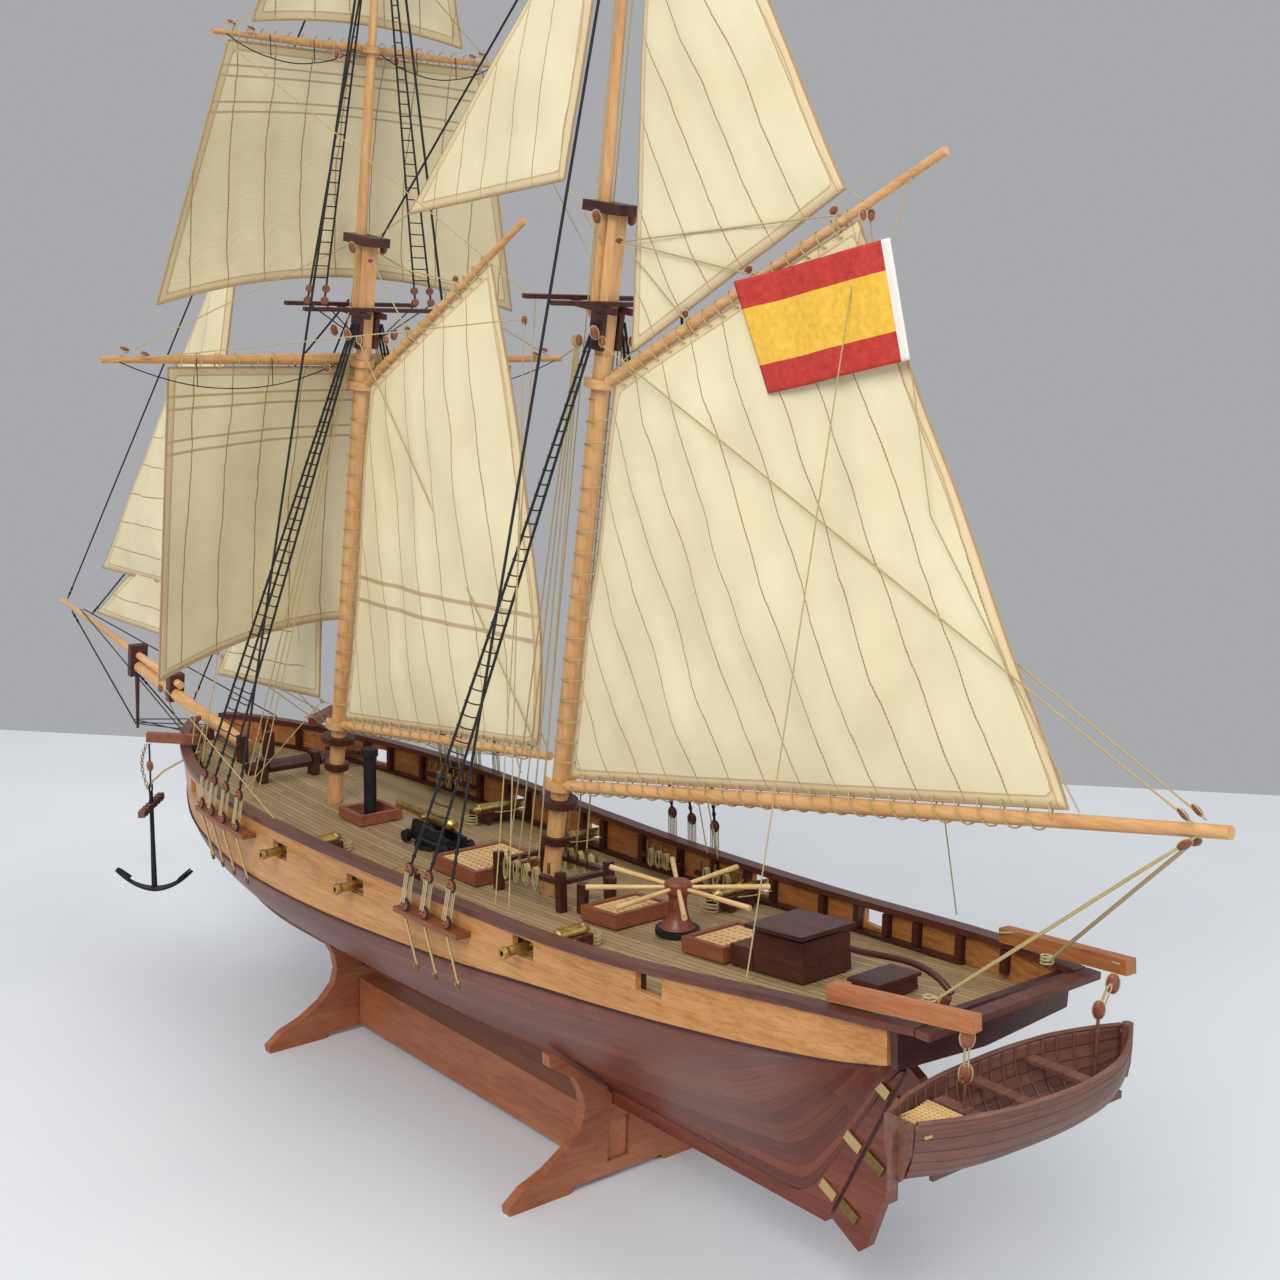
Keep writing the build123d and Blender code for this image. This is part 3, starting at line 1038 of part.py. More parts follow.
# ---------------- lines that travel with the booms and gaffs ----------------
with BuildPart() as main_sail_gear:
    bits = []
    for s in (1, -1):
        bits.append(solid_rod((main_x(352) - 8.5, s * 7.5, 352), on_spar(BOOM0, BOOM_RISE, 309, 2.6, s * 3.2), ROPE))
    bits.append(solid_rod((main_x(392) - 8.0, 3.2, 392), on_spar(GAFF0, GAFF_RISE, 92, 3.0, 2.8), ROPE))
    bits.append(solid_rod((-246.5, 3.4, 408.0), (-241.5, 5.4, 390.6), 0.3))
    add(bits)
main_sail_gear.part = main_sail_gear.part.moved(TO_ORIGIN)
main_sail_gear.part.label = "main_sail_gear"
export_step(main_sail_gear.part, "parts/main_sail_gear.step")

with BuildPart() as fore_sail_gear:
    bits = []
    for s in (1, -1):
        bits.append(solid_rod((fore_x(350) - 8.5, s * 7.5, 350), on_spar(FBOOM0, FBOOM_RISE, 172, 2.4, s * 2.6), ROPE))
    bits.append(solid_rod((fore_x(388) - 8.0, 3.2, 388), on_spar(FGAFF0, FGAFF_RISE, 92, 2.8, 1.2), ROPE))
    add(bits)
fore_sail_gear.part = fore_sail_gear.part.moved(TO_ORIGIN)
fore_sail_gear.part.label = "fore_sail_gear"
export_step(fore_sail_gear.part, "parts/fore_sail_gear.step")

# ---------------- running rigging made fast to hull and masts ----------------
with BuildPart() as running_rigging:
    bits = []
    for s in (1, -1):
        for k in range(4):
            x = FIFE_X[0] - 8 - 7.2 * k
            bits.append(solid_rod((x, s * FIFE_Y, deck_top(x, FIFE_Y) + 20.5), (main_x(352) + 7.5 - 1.6 * k, s * (9.2 + k * 0.6), 352), ROPE))
        # main boom sheets from the quarters
        bits.append(solid_rod((-292, s * 30, rail_z(-292) + 0.8), (-366, s * 1.6, 210.8), ROPE))
        # braces led aft to the main crosstrees and down to the rail
        bits.append(solid_rod((fore_x(YARD_Z) + 8.0, s * 124.5, YARD_Z - 3.5), (-62, s * 24, 362.0), 0.3))
        bits.append(solid_rod((-63, s * 25, 360.5), (-96, s * 55.8, rail_z(-96) - 1.5 + 2.6), 0.3))
        bits.append(solid_rod((fore_top_x(TYARD_Z) + 4.5, s * 74.0, TYARD_Z - 2.6), (-64, s * 20, 369.4), 0.3))
        # topsail sheets and clew lines down the fore mast
        for k in range(3):
            x = 112 + 8 * k
            bits.append(solid_rod((x, s * (side_y(x, rail_z(x) - 9) - BULWARK_T - 6.2), rail_z(x) - 2.6), (fore_x(351) - 2.0 + 1.6 * k, s * 6.5, 351), 0.3))
        bits.append(solid_rod((205, s * (side_y(205, 122) - BULWARK_T - 6.2), rail_z(205) - 2.8), (268, s * 1.4, 172), 0.3))
        # boat falls
    add(bits)
running_rigging.part = running_rigging.part.moved(TO_ORIGIN)
running_rigging.part.label = "running_rigging"
export_step(running_rigging.part, "parts/running_rigging.step")


# ---------------- yards and square sails ----------------
def mast_plane(f, rake, z, fwd):
    """Plane parallel to the mast, its local Y up the mast, its origin fwd of the mast axis."""
    n = Vector(1, 0, -rake).normalized()
    return Plane(origin=Vector(f(z), 0, z) + n * fwd, x_dir=(0, 1, 0), z_dir=n)


TRAKE_F = -0.14
YARD_FWD, TYARD_FWD = 10.0, 7.6
with BuildPart() as lower_yard:
    pl = mast_plane(fore_x, FORE_RAKE, YARD_Z, YARD_FWD)
    o = pl.origin
    halves = [solid_taper(o, o + Vector(0, s * YARD_HALF, 0), 3.1, 1.5) for s in (1, -1)]
    ring = solid_rod(mast_point(fore_x, YARD_Z - 1.6), mast_point(fore_x, YARD_Z + 1.6), 5.8) - \
        solid_rod(mast_point(fore_x, YARD_Z - 6), mast_point(fore_x, YARD_Z + 6), MAST_R + 0.25)
    truss = solid_box(Plane(origin=Vector(fore_x(YARD_Z), 0, YARD_Z) + pl.z_dir * 5.0, x_dir=(0, 1, 0), z_dir=pl.z_dir), (3, 2.4, 3))
    add([halves[0] + halves[1] + ring + truss])
lower_yard.part = lower_yard.part.moved(TO_ORIGIN)
lower_yard.part.label = "lower_yard"
export_step(lower_yard.part, "parts/lower_yard.step")

with BuildPart() as course:
    with BuildSketch(mast_plane(fore_x, FORE_RAKE, YARD_Z - 3.8, YARD_FWD + 0.5)):
        with BuildLine():
            Line((-95, 0), (95, 0))
            Line((95, 0), (94, -152))
            ThreePointArc((94, -152), (0, -130), (-94, -152))
            Line((-94, -152), (-95, 0))
        make_face()
    extrude(amount=SAIL_T / 2, both=True)
course.part = course.part.moved(TO_ORIGIN)
course.part.label = "course"
export_step(course.part, "parts/course.step")

with BuildPart() as topsail_yards:
    bits = []
    for z, half, r in ((TYARD_Z, TYARD_HALF, 2.3), (GYARD_Z, GYARD_HALF, 1.7)):
        pl = mast_plane(fore_top_x, TRAKE_F, z, TYARD_FWD)
        o = pl.origin
        halves = [solid_taper(o, o + Vector(0, s * half, 0), r, 1.1) for s in (1, -1)]
        ring = solid_rod(mast_point(fore_top_x, z - 1.4), mast_point(fore_top_x, z + 1.4), 4.2) - \
            solid_rod(mast_point(fore_top_x, z - 6), mast_point(fore_top_x, z + 6), TOPMAST_R + 0.1)
        truss = solid_box(Plane(origin=Vector(fore_top_x(z), 0, z) + pl.z_dir * 3.8, x_dir=(0, 1, 0), z_dir=pl.z_dir), (2.4, 2.0, 2.8))
        bits.append(halves[0] + halves[1] + ring + truss)
    add(bits)
topsail_yards.part = topsail_yards.part.moved(TO_ORIGIN)
topsail_yards.part.label = "topsail_yards"
export_step(topsail_yards.part, "parts/topsail_yards.step")

with BuildPart() as topsails:
    with BuildSketch(mast_plane(fore_top_x, TRAKE_F, TYARD_Z - 3.0, TYARD_FWD + 0.6)):
        with BuildLine():
            Line((-68, 0), (68, 0))
            Line((68, 0), (98, -117))
            ThreePointArc((98, -117), (0, -102), (-98, -117))
            Line((-98, -117), (-68, 0))
        make_face()
    extrude(amount=SAIL_T / 2, both=True)
    with BuildSketch(mast_plane(fore_top_x, TRAKE_F, GYARD_Z - 2.4, TYARD_FWD + 0.6)):
        with BuildLine():
            Line((-37, 0), (37, 0))
            Line((37, 0), (56, -64))
            ThreePointArc((56, -64), (0, -59), (-56, -64))
            Line((-56, -64), (-37, 0))
        make_face()
    extrude(amount=SAIL_T / 2, both=True)
topsails.part = topsails.part.moved(TO_ORIGIN)
topsails.part.label = "topsails"
export_step(topsails.part, "parts/topsails.step")

# ---------------- rudder ----------------
RUD = Vector(RUDDER_HEAD[0] - RUDDER_HEEL[0], 0, RUDDER_HEAD[1] - RUDDER_HEEL[1]).normalized()
AFT = Vector(-RUD.Z, 0, RUD.X)


def rudder_point(d, off):
    p = Vector(RUDDER_HEEL[0], 0, RUDDER_HEEL[1]) + RUD * d + AFT * off
    return (p.X, p.Z)


with BuildPart() as rudder_blade:
    with BuildSketch(Plane.XZ):
        with BuildLine():
            Polyline(rudder_point(2, 1.3), rudder_point(79.0, 1.3), rudder_point(79.6, 0.0), rudder_point(81.0, 0.0), rudder_point(80.6, 6),
                     rudder_point(74, 14.5), rudder_point(52, 13.5), rudder_point(24, 16.5), rudder_point(6, 18.8), rudder_point(1.5, 17.0), close=True)
        make_face()
    extrude(amount=2.1, both=True)
    a, b = rudder_point(79.6, 0), rudder_point(114, 0)
    add(solid_rod((a[0], 0, a[1]), (b[0], 0, b[1]), 1.6))
rudder_blade.part = rudder_blade.part.moved(TO_ORIGIN)
rudder_blade.part.label = "rudder_blade"
export_step(rudder_blade.part, "parts/rudder_blade.step")

with BuildPart() as rudder_straps:
    bits = []
    for d in (12.0, 38.0, 66.0):
        for s in (1, -1):
            p = rudder_point(d - 2.2, 6.3)
            bits.append(solid_box(Plane(origin=(p[0], s * 2.65, p[1]), x_dir=AFT, z_dir=RUD), (9.0, 0.8, 4.4)))
    add(bits)
rudder_straps.part = rudder_straps.part.moved(TO_ORIGIN)
rudder_straps.part.label = "rudder_straps"
export_step(rudder_straps.part, "parts/rudder_straps.step")

with BuildPart() as tiller:
    top = rudder_point(114.4, 0)
    with BuildLine() as path:
        Spline((top[0] - 1.5, 0, top[1] + 1.2), (-267.7, 0, 143.0), (-250, 0, 143.6), (-228.9, 0, 141.0))
    with BuildSketch(Plane(origin=path.line @ 0, z_dir=path.line % 0)):
        Circle(1.2)
    sweep()
tiller.part = tiller.part.moved(TO_ORIGIN)
tiller.part.label = "tiller"
export_step(tiller.part, "parts/tiller.step")

# ---------------- ship's boat hung athwart the stern ----------------
BOAT_ST = ((68.5, 5.2, 128.5, 110.0), (52, 11.0, 128.0, 107.4), (30, 15.2, 127.2, 106.2), (6, 16.6, 126.8, 106.0), (-16, 14.4, 127.2, 106.4),
           (-34, 7.6, 128.2, 108.4), (-43, 1.9, 129.0, 113.0))
with BuildPart() as boat_hull:
    for y, w, zt, zb in BOAT_ST:
        with BuildSketch(Plane.XZ.offset(-y)):
            pts = [(w, zt), (w * 0.96, zb + (zt - zb) * 0.6), (w * 0.72, zb + (zt - zb) * 0.25), (w * 0.3 + 0.3, zb + 1.0)]
            t = 1.4 if w > 3 else 1.1
            ins = [(w - t, zt), (w * 0.96 - t, zb + (zt - zb) * 0.6), (max(w * 0.72 - t, 0.5), zb + (zt - zb) * 0.25 + 1.0), (max(w * 0.3 - 0.6, 0.3), zb + 2.6)]
            X = BOAT_X
            with BuildLine():
                Polyline((X - pts[0][0], pts[0][1]), (X - pts[1][0], pts[1][1]), (X - pts[2][0], pts[2][1]), (X - pts[3][0], pts[3][1]),
                         (X + pts[3][0], pts[3][1]), (X + pts[2][0], pts[2][1]), (X + pts[1][0], pts[1][1]), (X + pts[0][0], pts[0][1]),
                         (X + ins[0][0], ins[0][1]), (X + ins[1][0], ins[1][1]), (X + ins[2][0], ins[2][1]), (X + ins[3][0], ins[3][1]),
                         (X - ins[3][0], ins[3][1]), (X - ins[2][0], ins[2][1]), (X - ins[1][0], ins[1][1]), (X - ins[0][0], ins[0][1]), close=True)
            make_face()
    loft(ruled=True)
boat_hull.part = boat_hull.part.moved(TO_ORIGIN)
boat_hull.part.label = "boat_hull"
export_step(boat_hull.part, "parts/boat_hull.step")

with BuildPart() as boat_fittings:
    bits = []
    with BuildSketch(Plane.XZ.offset(-68.9), mode=Mode.PRIVATE) as tr:
        with BuildLine():
            Polyline((BOAT_X - 5.4, 129), (BOAT_X - 5.0, 119), (BOAT_X - 1.6, 109.4), (BOAT_X + 1.6, 109.4), (BOAT_X + 5.0, 119), (BOAT_X + 5.4, 129), close=True)
        make_face()
    bits.append(extrude(tr.sketch, amount=-1.6, mode=Mode.PRIVATE))
    for y, w in ((40, 11.0), (20, 13.6), (-8, 13.2)):
        bits.append(solid_box(Plane(origin=(BOAT_X, y, 122.4)), (2 * w - 1.4, 5.0, 1.2)))
    # lifting rings
    for y, w in ((40.0, 0), (-27.0, 0)):
        pass
    bits.append(solid_rod((BOAT_X, 40.0, 124.2), (BOAT_X, 40.0, 133.5), 0.6))
    bits.append(solid_rod((BOAT_X, -27.0, 117.5), (BOAT_X, -27.0, 137.5), 0.6))
    # keel
    bits.append(solid_box(Plane(origin=(BOAT_X, 6, 104.0)), (1.6, 96, 2.6)))
    add(bits)
boat_fittings.part = boat_fittings.part.moved(TO_ORIGIN)
boat_fittings.part.label = "boat_fittings"
export_step(boat_fittings.part, "parts/boat_fittings.step")

# ---------------- port anchor hung from its cathead ----------------
AX, AY = 239.5, 57.0
RX, RY = 0.638, 0.770
with BuildPart() as anchor:
    shank = solid_rod((AX, AY, 106), (AX, AY, 52), 1.3)
    arms = None
    pts = []
    for s in (1, -1):
        prev = (AX, AY, 51.5)
        for t, up in ((8, 1.2), (15, 4.6), (21, 10.5)):
            q = (AX + s * RX * t, AY + s * RY * t, 51.5 + up)
            rod = solid_rod(prev, q, 1.5)
            shank = shank + rod
            prev = q
    shank = shank + solid_rod((AX, AY, 106), (AX, AY, 109), 2.2)
    add(shank)
    add(solid_rod((AX, AY, 110.4), (AX, AY, 133.2), 0.6))
    add(solid_rod((AX - 1.4 * RX, AY - 1.4 * RY, 133.2), (AX + 1.4 * RX, AY + 1.4 * RY, 133.2), 0.9))
anchor.part = anchor.part.moved(TO_ORIGIN)
anchor.part.label = "anchor"
export_step(anchor.part, "parts/anchor.step")

with BuildPart() as anchor_stock:
    a, m, b = Vector(AX - 20 * RY, AY + 20 * RX, 99), Vector(AX, AY, 99), Vector(AX + 20 * RY, AY - 20 * RX, 99)
    bar = solid_box(Plane(origin=a, x_dir=(0, 0, 1), z_dir=b - a), (3.4, 3.4, 40))
    add(bar - solid_rod((AX, AY, 94), (AX, AY, 104), 1.45))
anchor_stock.part = anchor_stock.part.moved(TO_ORIGIN)
anchor_stock.part.label = "anchor_stock"
export_step(anchor_stock.part, "parts/anchor_stock.step")


# ---------------- stand ----------------
def cradle_profile(x):
    """Right half of a cradle, from the floor round to the keel notch."""
    rest = []
    for u in (0.4, 0.32, 0.25, 0.18, 0.12, 0.07, 0.035):
        y, z = (max(girth(x + d, u)[0] for d in (-2.5, 0, 2.5)), girth(x, u)[1])
        rest.append((y + 1.3, z - 1.3))
    top_y, top_z = rest[0]
    return [(0, 2.6), (24, 2.6), (26, 0), (57, 0), (57.6, 3.4), (50, 9.2), (38, 13.6), (27.5, 20), (20.5, 27.5), (18.2, 35), (19.6, 43),
            (23.6, 51), (top_y + 1.5, top_z - 6), (top_y + 2.0, top_z - 0.5)] + rest + [(3.6, 38.6), (3.5, KEEL_Z - 0.05), (0, KEEL_Z - 0.05)]


with BuildPart() as stand_cradles:
    bits = []
    for x in CRADLE_X:
        prof = cradle_profile(x)
        with BuildSketch(Plane.YZ.offset(x - CRADLE_T / 2), mode=Mode.PRIVATE) as cr:
            with BuildLine():
                left = [(-y, z) for y, z in reversed(prof[1:-1])]
                Polyline(*prof, *left, close=True)
            make_face()
            with Locations((0, 17.75)):
                Rectangle(12, 18.7, mode=Mode.SUBTRACT)
        bits.append(extrude(cr.sketch, amount=CRADLE_T, mode=Mode.PRIVATE))
    add(bits)
stand_cradles.part = stand_cradles.part.moved(TO_ORIGIN)
stand_cradles.part.label = "stand_cradles"
export_step(stand_cradles.part, "parts/stand_cradles.step")

with BuildPart() as stand_board:
    xa, xb = CRADLE_X[0] + CRADLE_T / 2 + 0.1, CRADLE_X[1] - CRADLE_T / 2 - 0.1
    with Locations(((xa + xb) / 2, 0, 3.0)):
        Box(xb - xa, 11, 25, align=(Align.CENTER, Align.CENTER, Align.MIN))
    with Locations(((xa + xb) / 2, 0, 8.8)):
        Box(xb - xa + 7.0, 11, 17.8, align=(Align.CENTER, Align.CENTER, Align.MIN))
stand_board.part = stand_board.part.moved(TO_ORIGIN)
stand_board.part.label = "stand_board"
export_step(stand_board.part, "parts/stand_board.step")
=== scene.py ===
import math
import random
from bisect import bisect_right

import bpy
import numpy as np
from mathutils import Matrix, Vector, noise


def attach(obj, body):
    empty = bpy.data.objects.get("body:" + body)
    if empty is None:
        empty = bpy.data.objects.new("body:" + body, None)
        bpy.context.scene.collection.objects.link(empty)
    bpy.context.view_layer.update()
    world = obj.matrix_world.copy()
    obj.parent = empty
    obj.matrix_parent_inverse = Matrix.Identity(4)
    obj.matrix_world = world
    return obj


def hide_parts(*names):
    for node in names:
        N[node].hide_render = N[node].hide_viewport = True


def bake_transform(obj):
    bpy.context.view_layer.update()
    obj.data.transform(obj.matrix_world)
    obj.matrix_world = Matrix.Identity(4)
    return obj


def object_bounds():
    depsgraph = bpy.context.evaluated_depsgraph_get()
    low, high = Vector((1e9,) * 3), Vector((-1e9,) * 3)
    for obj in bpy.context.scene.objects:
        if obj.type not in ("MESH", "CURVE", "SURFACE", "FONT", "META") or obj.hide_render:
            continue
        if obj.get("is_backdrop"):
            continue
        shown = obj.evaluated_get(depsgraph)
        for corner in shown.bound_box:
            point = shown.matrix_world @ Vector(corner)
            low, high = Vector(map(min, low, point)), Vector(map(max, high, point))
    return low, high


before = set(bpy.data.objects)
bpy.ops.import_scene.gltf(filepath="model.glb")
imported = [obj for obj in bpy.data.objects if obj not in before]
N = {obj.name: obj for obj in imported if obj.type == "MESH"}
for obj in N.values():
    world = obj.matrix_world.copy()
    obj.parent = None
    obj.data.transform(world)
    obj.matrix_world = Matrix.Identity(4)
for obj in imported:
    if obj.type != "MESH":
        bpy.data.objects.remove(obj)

FIRST_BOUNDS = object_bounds()
X0 = 63.4
random.seed(7)


def W(p):
    return ((p[0] - X0) / 1000.0, p[1] / 1000.0, p[2] / 1000.0)


# ------------------------------------------------------------------ hull shape (mm, amidships frame)
def curve(pairs):
    pairs = sorted(pairs)
    xs = [p[0] for p in pairs]
    ys = [p[1] for p in pairs]
    n = len(xs)
    h = [xs[i + 1] - xs[i] for i in range(n - 1)]
    d = [(ys[i + 1] - ys[i]) / h[i] for i in range(n - 1)]
    m = [d[0]] + [0.0] * (n - 2) + [d[-1]]
    for i in range(1, n - 1):
        if d[i - 1] * d[i] > 0:
            a, b = 2 * h[i] + h[i - 1], h[i] + 2 * h[i - 1]
            m[i] = (a + b) / (a / d[i - 1] + b / d[i])

    def value(x):
        x = min(max(x, xs[0]), xs[-1])
        i = min(max(bisect_right(xs, x) - 1, 0), n - 2)
        t = (x - xs[i]) / h[i]
        return ((2 * t**3 - 3 * t**2 + 1) * ys[i] + (t**3 - 2 * t**2 + t) * h[i] * m[i]
                + (-2 * t**3 + 3 * t**2) * ys[i + 1] + (t**3 - t**2) * h[i] * m[i + 1])

    return value


rail_b = curve([(-300, 42.5), (-290, 45), (-260, 51.1), (-230, 55.2), (-200, 59), (-170, 61.7), (-140, 64), (-110, 65.2),
                (-80, 65.8), (-50, 66.4), (-20, 67.2), (10, 68.6), (40, 69.6), (70, 69.9), (100, 69.2), (130, 67),
                (160, 63.2), (190, 56.6), (220, 46.5), (240, 38.2), (252, 32.5), (262, 27), (272, 20.5), (280, 14), (284, 10.5)])
rail_z = curve([(-300, 144.8), (-260, 142.6), (-230, 139.8), (-200, 136.6), (-170, 134), (-140, 132), (-110, 130.7),
                (-80, 129.8), (-50, 129.3), (-20, 129), (40, 128.9), (100, 129.2), (130, 129.5), (160, 130),
                (190, 130.8), (220, 131.7), (250, 132.8), (275, 133.8), (292, 134.5)])
wale_z = curve([(-300, 131), (-290, 129.2), (-270, 125.2), (-250, 122.4), (-200, 117), (-125, 110), (-80, 105), (-32, 100.8),
                (30, 98), (80, 97.6), (122, 98.6), (150, 100.2), (200, 104), (250, 109), (272, 112), (292, 116)])
wale_in = curve([(-300, 1.5), (-200, 0.8), (-100, 0.6), (100, 0.6), (190, 1.4), (220, 2.6), (252, 4.2), (272, 5.6), (284, 5.0)])
deck_z = curve([(-300, 132), (-250, 127.5), (-200, 122.5), (-150, 118.4), (-119, 116), (-60, 112), (0, 110.2), (60, 110),
                (120, 111), (180, 113.2), (240, 117), (292, 120.5)])
rabbet_z = curve([(-292, 126.5), (-286, 123), (-270, 113.5), (-258, 106), (-252, 99), (-240, 80), (-228, 61), (-218, 47), (-210, 41),
                  (-200, 40), (150, 40), (190, 41), (215, 44.5), (235, 51), (250, 59), (262, 68.5), (271, 79), (278, 90), (284, 103)])
hollow = curve([(-286, 1.25), (-258, 1.6), (-240, 2.6), (-215, 2.3), (-180, 1.7), (-95, 1.2), (0, 0.98), (110, 0.98), (170, 1.1),
                (215, 1.25), (250, 1.35), (284, 1.2)])
BULWARK_T, RAIL_T, RAIL_W = 2.6, 2.6, 6.2


def wale_b(x):
    return rail_b(x) - wale_in(x)


def girth(x, u):
    zb, zt = rabbet_z(x), wale_z(x)
    f = (1 - (1 - u) ** 1.6) ** hollow(x)
    return 3.0 + (wale_b(x) - 3.0) * f, zb + (zt - zb) * u


def side_y(x, z):
    t = (z - wale_z(x)) / (rail_z(x) - wale_z(x))
    return wale_b(x) + 0.5 + (rail_b(x) - wale_b(x) - 0.5) * t


def deck_top(x, y=0.0):
    half = side_y(x, deck_z(x)) - BULWARK_T
    return deck_z(x) + 2.0 * (1 - min(1.0, abs(y) / half) ** 2)


def main_x(z):
    return -48.0 - 0.1495 * (z - 114.0)


def fore_x(z):
    return 140.5 - 0.157 * (z - 113.0)


def main_top_x(z):
    return main_x(405.0) + 9.0 - 0.128 * (z - 405.0)


def fore_top_x(z):
    return fore_x(398.0) + 9.0 - 0.14 * (z - 398.0)


# ------------------------------------------------------------------ mesh bags
class Bag:
    """Collects many small shapes of one material into one mesh."""

    def __init__(self, name):
        self.name, self.v, self.f, self.uv = name, [], [], []

    def add(self, verts, faces, uvs=None):
        b = len(self.v)
        self.v.extend(verts)
        self.f.extend([tuple(b + i for i in f) for f in faces])

    def tube(self, pts, r, sides=7, caps=True, closed=False):
        P = [Vector(p) for p in pts]
        n = len(P)
        rr = r if isinstance(r, (list, tuple)) else [r] * n
        rings = []
        up = None
        for i in range(n):
            if closed:
                t = (P[(i + 1) % n] - P[i - 1]).normalized()
            else:
                t = (P[min(i + 1, n - 1)] - P[max(i - 1, 0)]).normalized()
            if up is None:
                up = t.orthogonal().normalized()
            else:
                up = (up - t * up.dot(t))
                up = up.normalized() if up.length > 1e-6 else t.orthogonal().normalized()
            side = t.cross(up)
            rings.append([tuple(P[i] + (up * math.cos(a) + side * math.sin(a)) * rr[i])
                          for a in (2 * math.pi * k / sides for k in range(sides))])
        verts = [q for ring in rings for q in ring]
        faces = []
        m = n if closed else n - 1
        for i in range(m):
            j = (i + 1) % n
            for k in range(sides):
                l = (k + 1) % sides
                faces.append((i * sides + k, i * sides + l, j * sides + l, j * sides + k))
        if caps and not closed:
            faces.append(tuple(range(sides))[::-1])
            faces.append(tuple((n - 1) * sides + k for k in range(sides)))
        self.add(verts, faces)

    def rope(self, a, b, r=0.35, sag=0.0, seg=6, sides=6):
        a, b = Vector(a), Vector(b)
        pts = []
        n = seg if sag else 1
        for i in range(n + 1):
            t = i / n
            p = a.lerp(b, t)
            p.z -= sag * 4 * t * (1 - t)
            pts.append(p)
        self.tube(pts, r, sides)

    def box(self, c, size, axes=None):
        c = Vector(c)
        ax = axes or (Vector((1, 0, 0)), Vector((0, 1, 0)), Vector((0, 0, 1)))
        h = [s / 2 for s in size]
        verts = []
        for sx in (-1, 1):
            for sy in (-1, 1):
                for sz in (-1, 1):
                    verts.append(tuple(c + ax[0] * h[0] * sx + ax[1] * h[1] * sy + ax[2] * h[2] * sz))
        self.add(verts, [(0, 1, 3, 2), (4, 6, 7, 5), (0, 4, 5, 1), (2, 3, 7, 6), (0, 2, 6, 4), (1, 5, 7, 3)])

    def lathe(self, prof, origin, axis, sides=16, squash=None):
        """prof is (radius, height) pairs."""
        o, w = Vector(origin), Vector(axis).normalized()
        u = w.orthogonal().normalized()
        v = w.cross(u)
        if squash is not None:
            u = Vector(squash[0]).normalized()
            u = (u - w * u.dot(w)).normalized()
            v = w.cross(u)
        ku, kv = (1.0, 1.0) if squash is None else squash[1:]
        verts, faces = [], []
        for r, h in prof:
            for k in range(sides):
                a = 2 * math.pi * k / sides
                verts.append(tuple(o + w * h + u * (r * math.cos(a) * ku) + v * (r * math.sin(a) * kv)))
        for i in range(len(prof) - 1):
            for k in range(sides):
                l = (k + 1) % sides
                faces.append((i * sides + k, i * sides + l, (i + 1) * sides + l, (i + 1) * sides + k))
        faces.append(tuple(range(sides))[::-1])
        faces.append(tuple((len(prof) - 1) * sides + k for k in range(sides)))
        self.add(verts, faces)

    def ring(self, c, normal, R, r, n=14, sides=6, stretch=1.0, long_axis=None):
        c, w = Vector(c), Vector(normal).normalized()
        u = w.orthogonal().normalized() if long_axis is None else (Vector(long_axis) - w * Vector(long_axis).dot(w)).normalized()
        v = w.cross(u)
        self.tube([c + u * (R * stretch * math.cos(2 * math.pi * k / n)) + v * (R * math.sin(2 * math.pi * k / n)) for k in range(n)],
                  r, sides, closed=True)

    def build(self, mat, body="hull", smooth=True, angle=40, replaces=(), slot=None):
        me = bpy.data.meshes.new(self.name)
        me.from_pydata([W(p) for p in self.v], [], self.f)
        me.validate()
        me.update()
        ob = bpy.data.objects.new(self.name, me)
        bpy.context.scene.collection.objects.link(ob)
        me.materials.append(mat)
        if smooth:
            me.polygons.foreach_set("use_smooth", [True] * len(me.polygons))
            me.set_sharp_from_angle(angle=math.radians(angle))
        if body:
            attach(ob, body)
        if replaces:
            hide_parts(*replaces)
        return ob


# ------------------------------------------------------------------ materials
def new_mat(name):
    m = bpy.data.materials.new(name.replace(" ", "_"))
    m.use_nodes = True
    nt = m.node_tree
    b = nt.nodes["Principled BSDF"]
    return m, nt, b


def link(nt, a, b):
    nt.links.new(a, b)


def ramp(nt, fac, stops):
    r = nt.nodes.new("ShaderNodeValToRGB")
    while len(r.color_ramp.elements) < len(stops):
        r.color_ramp.elements.new(0.5)
    for e, (p, c) in zip(r.color_ramp.elements, stops):
        e.position = p
        e.color = (*c, 1.0)
    link(nt, fac, r.inputs["Fac"])
    return r.outputs["Color"]


def mapped(nt, scale, coord="Object", rot=(0, 0, 0)):
    tc = nt.nodes.new("ShaderNodeTexCoord")
    mp = nt.nodes.new("ShaderNodeMapping")
    mp.inputs["Scale"].default_value = scale
    mp.inputs["Rotation"].default_value = rot
    link(nt, tc.outputs[coord], mp.inputs["Vector"])
    return mp.outputs["Vector"]


def noise_tex(nt, vec, scale=1.0, detail=6.0, rough=0.6, dist=0.0):
    n = nt.nodes.new("ShaderNodeTexNoise")
    n.inputs["Scale"].default_value = scale
    n.inputs["Detail"].default_value = detail
    n.inputs["Roughness"].default_value = rough
    n.inputs["Distortion"].default_value = dist
    link(nt, vec, n.inputs["Vector"])
    return n.outputs["Fac"]


def mixc(nt, fac, a, b, mode="MIX"):
    m = nt.nodes.new("ShaderNodeMix")
    m.data_type = "RGBA"
    m.blend_type = mode
    if isinstance(fac, float):
        m.inputs["Factor"].default_value = fac
    else:
        link(nt, fac, m.inputs["Factor"])
    for s, c in ((6, a), (7, b)):
        if isinstance(c, tuple):
            m.inputs[s].default_value = (*c, 1.0)
        else:
            link(nt, c, m.inputs[s])
    return m.outputs[2]


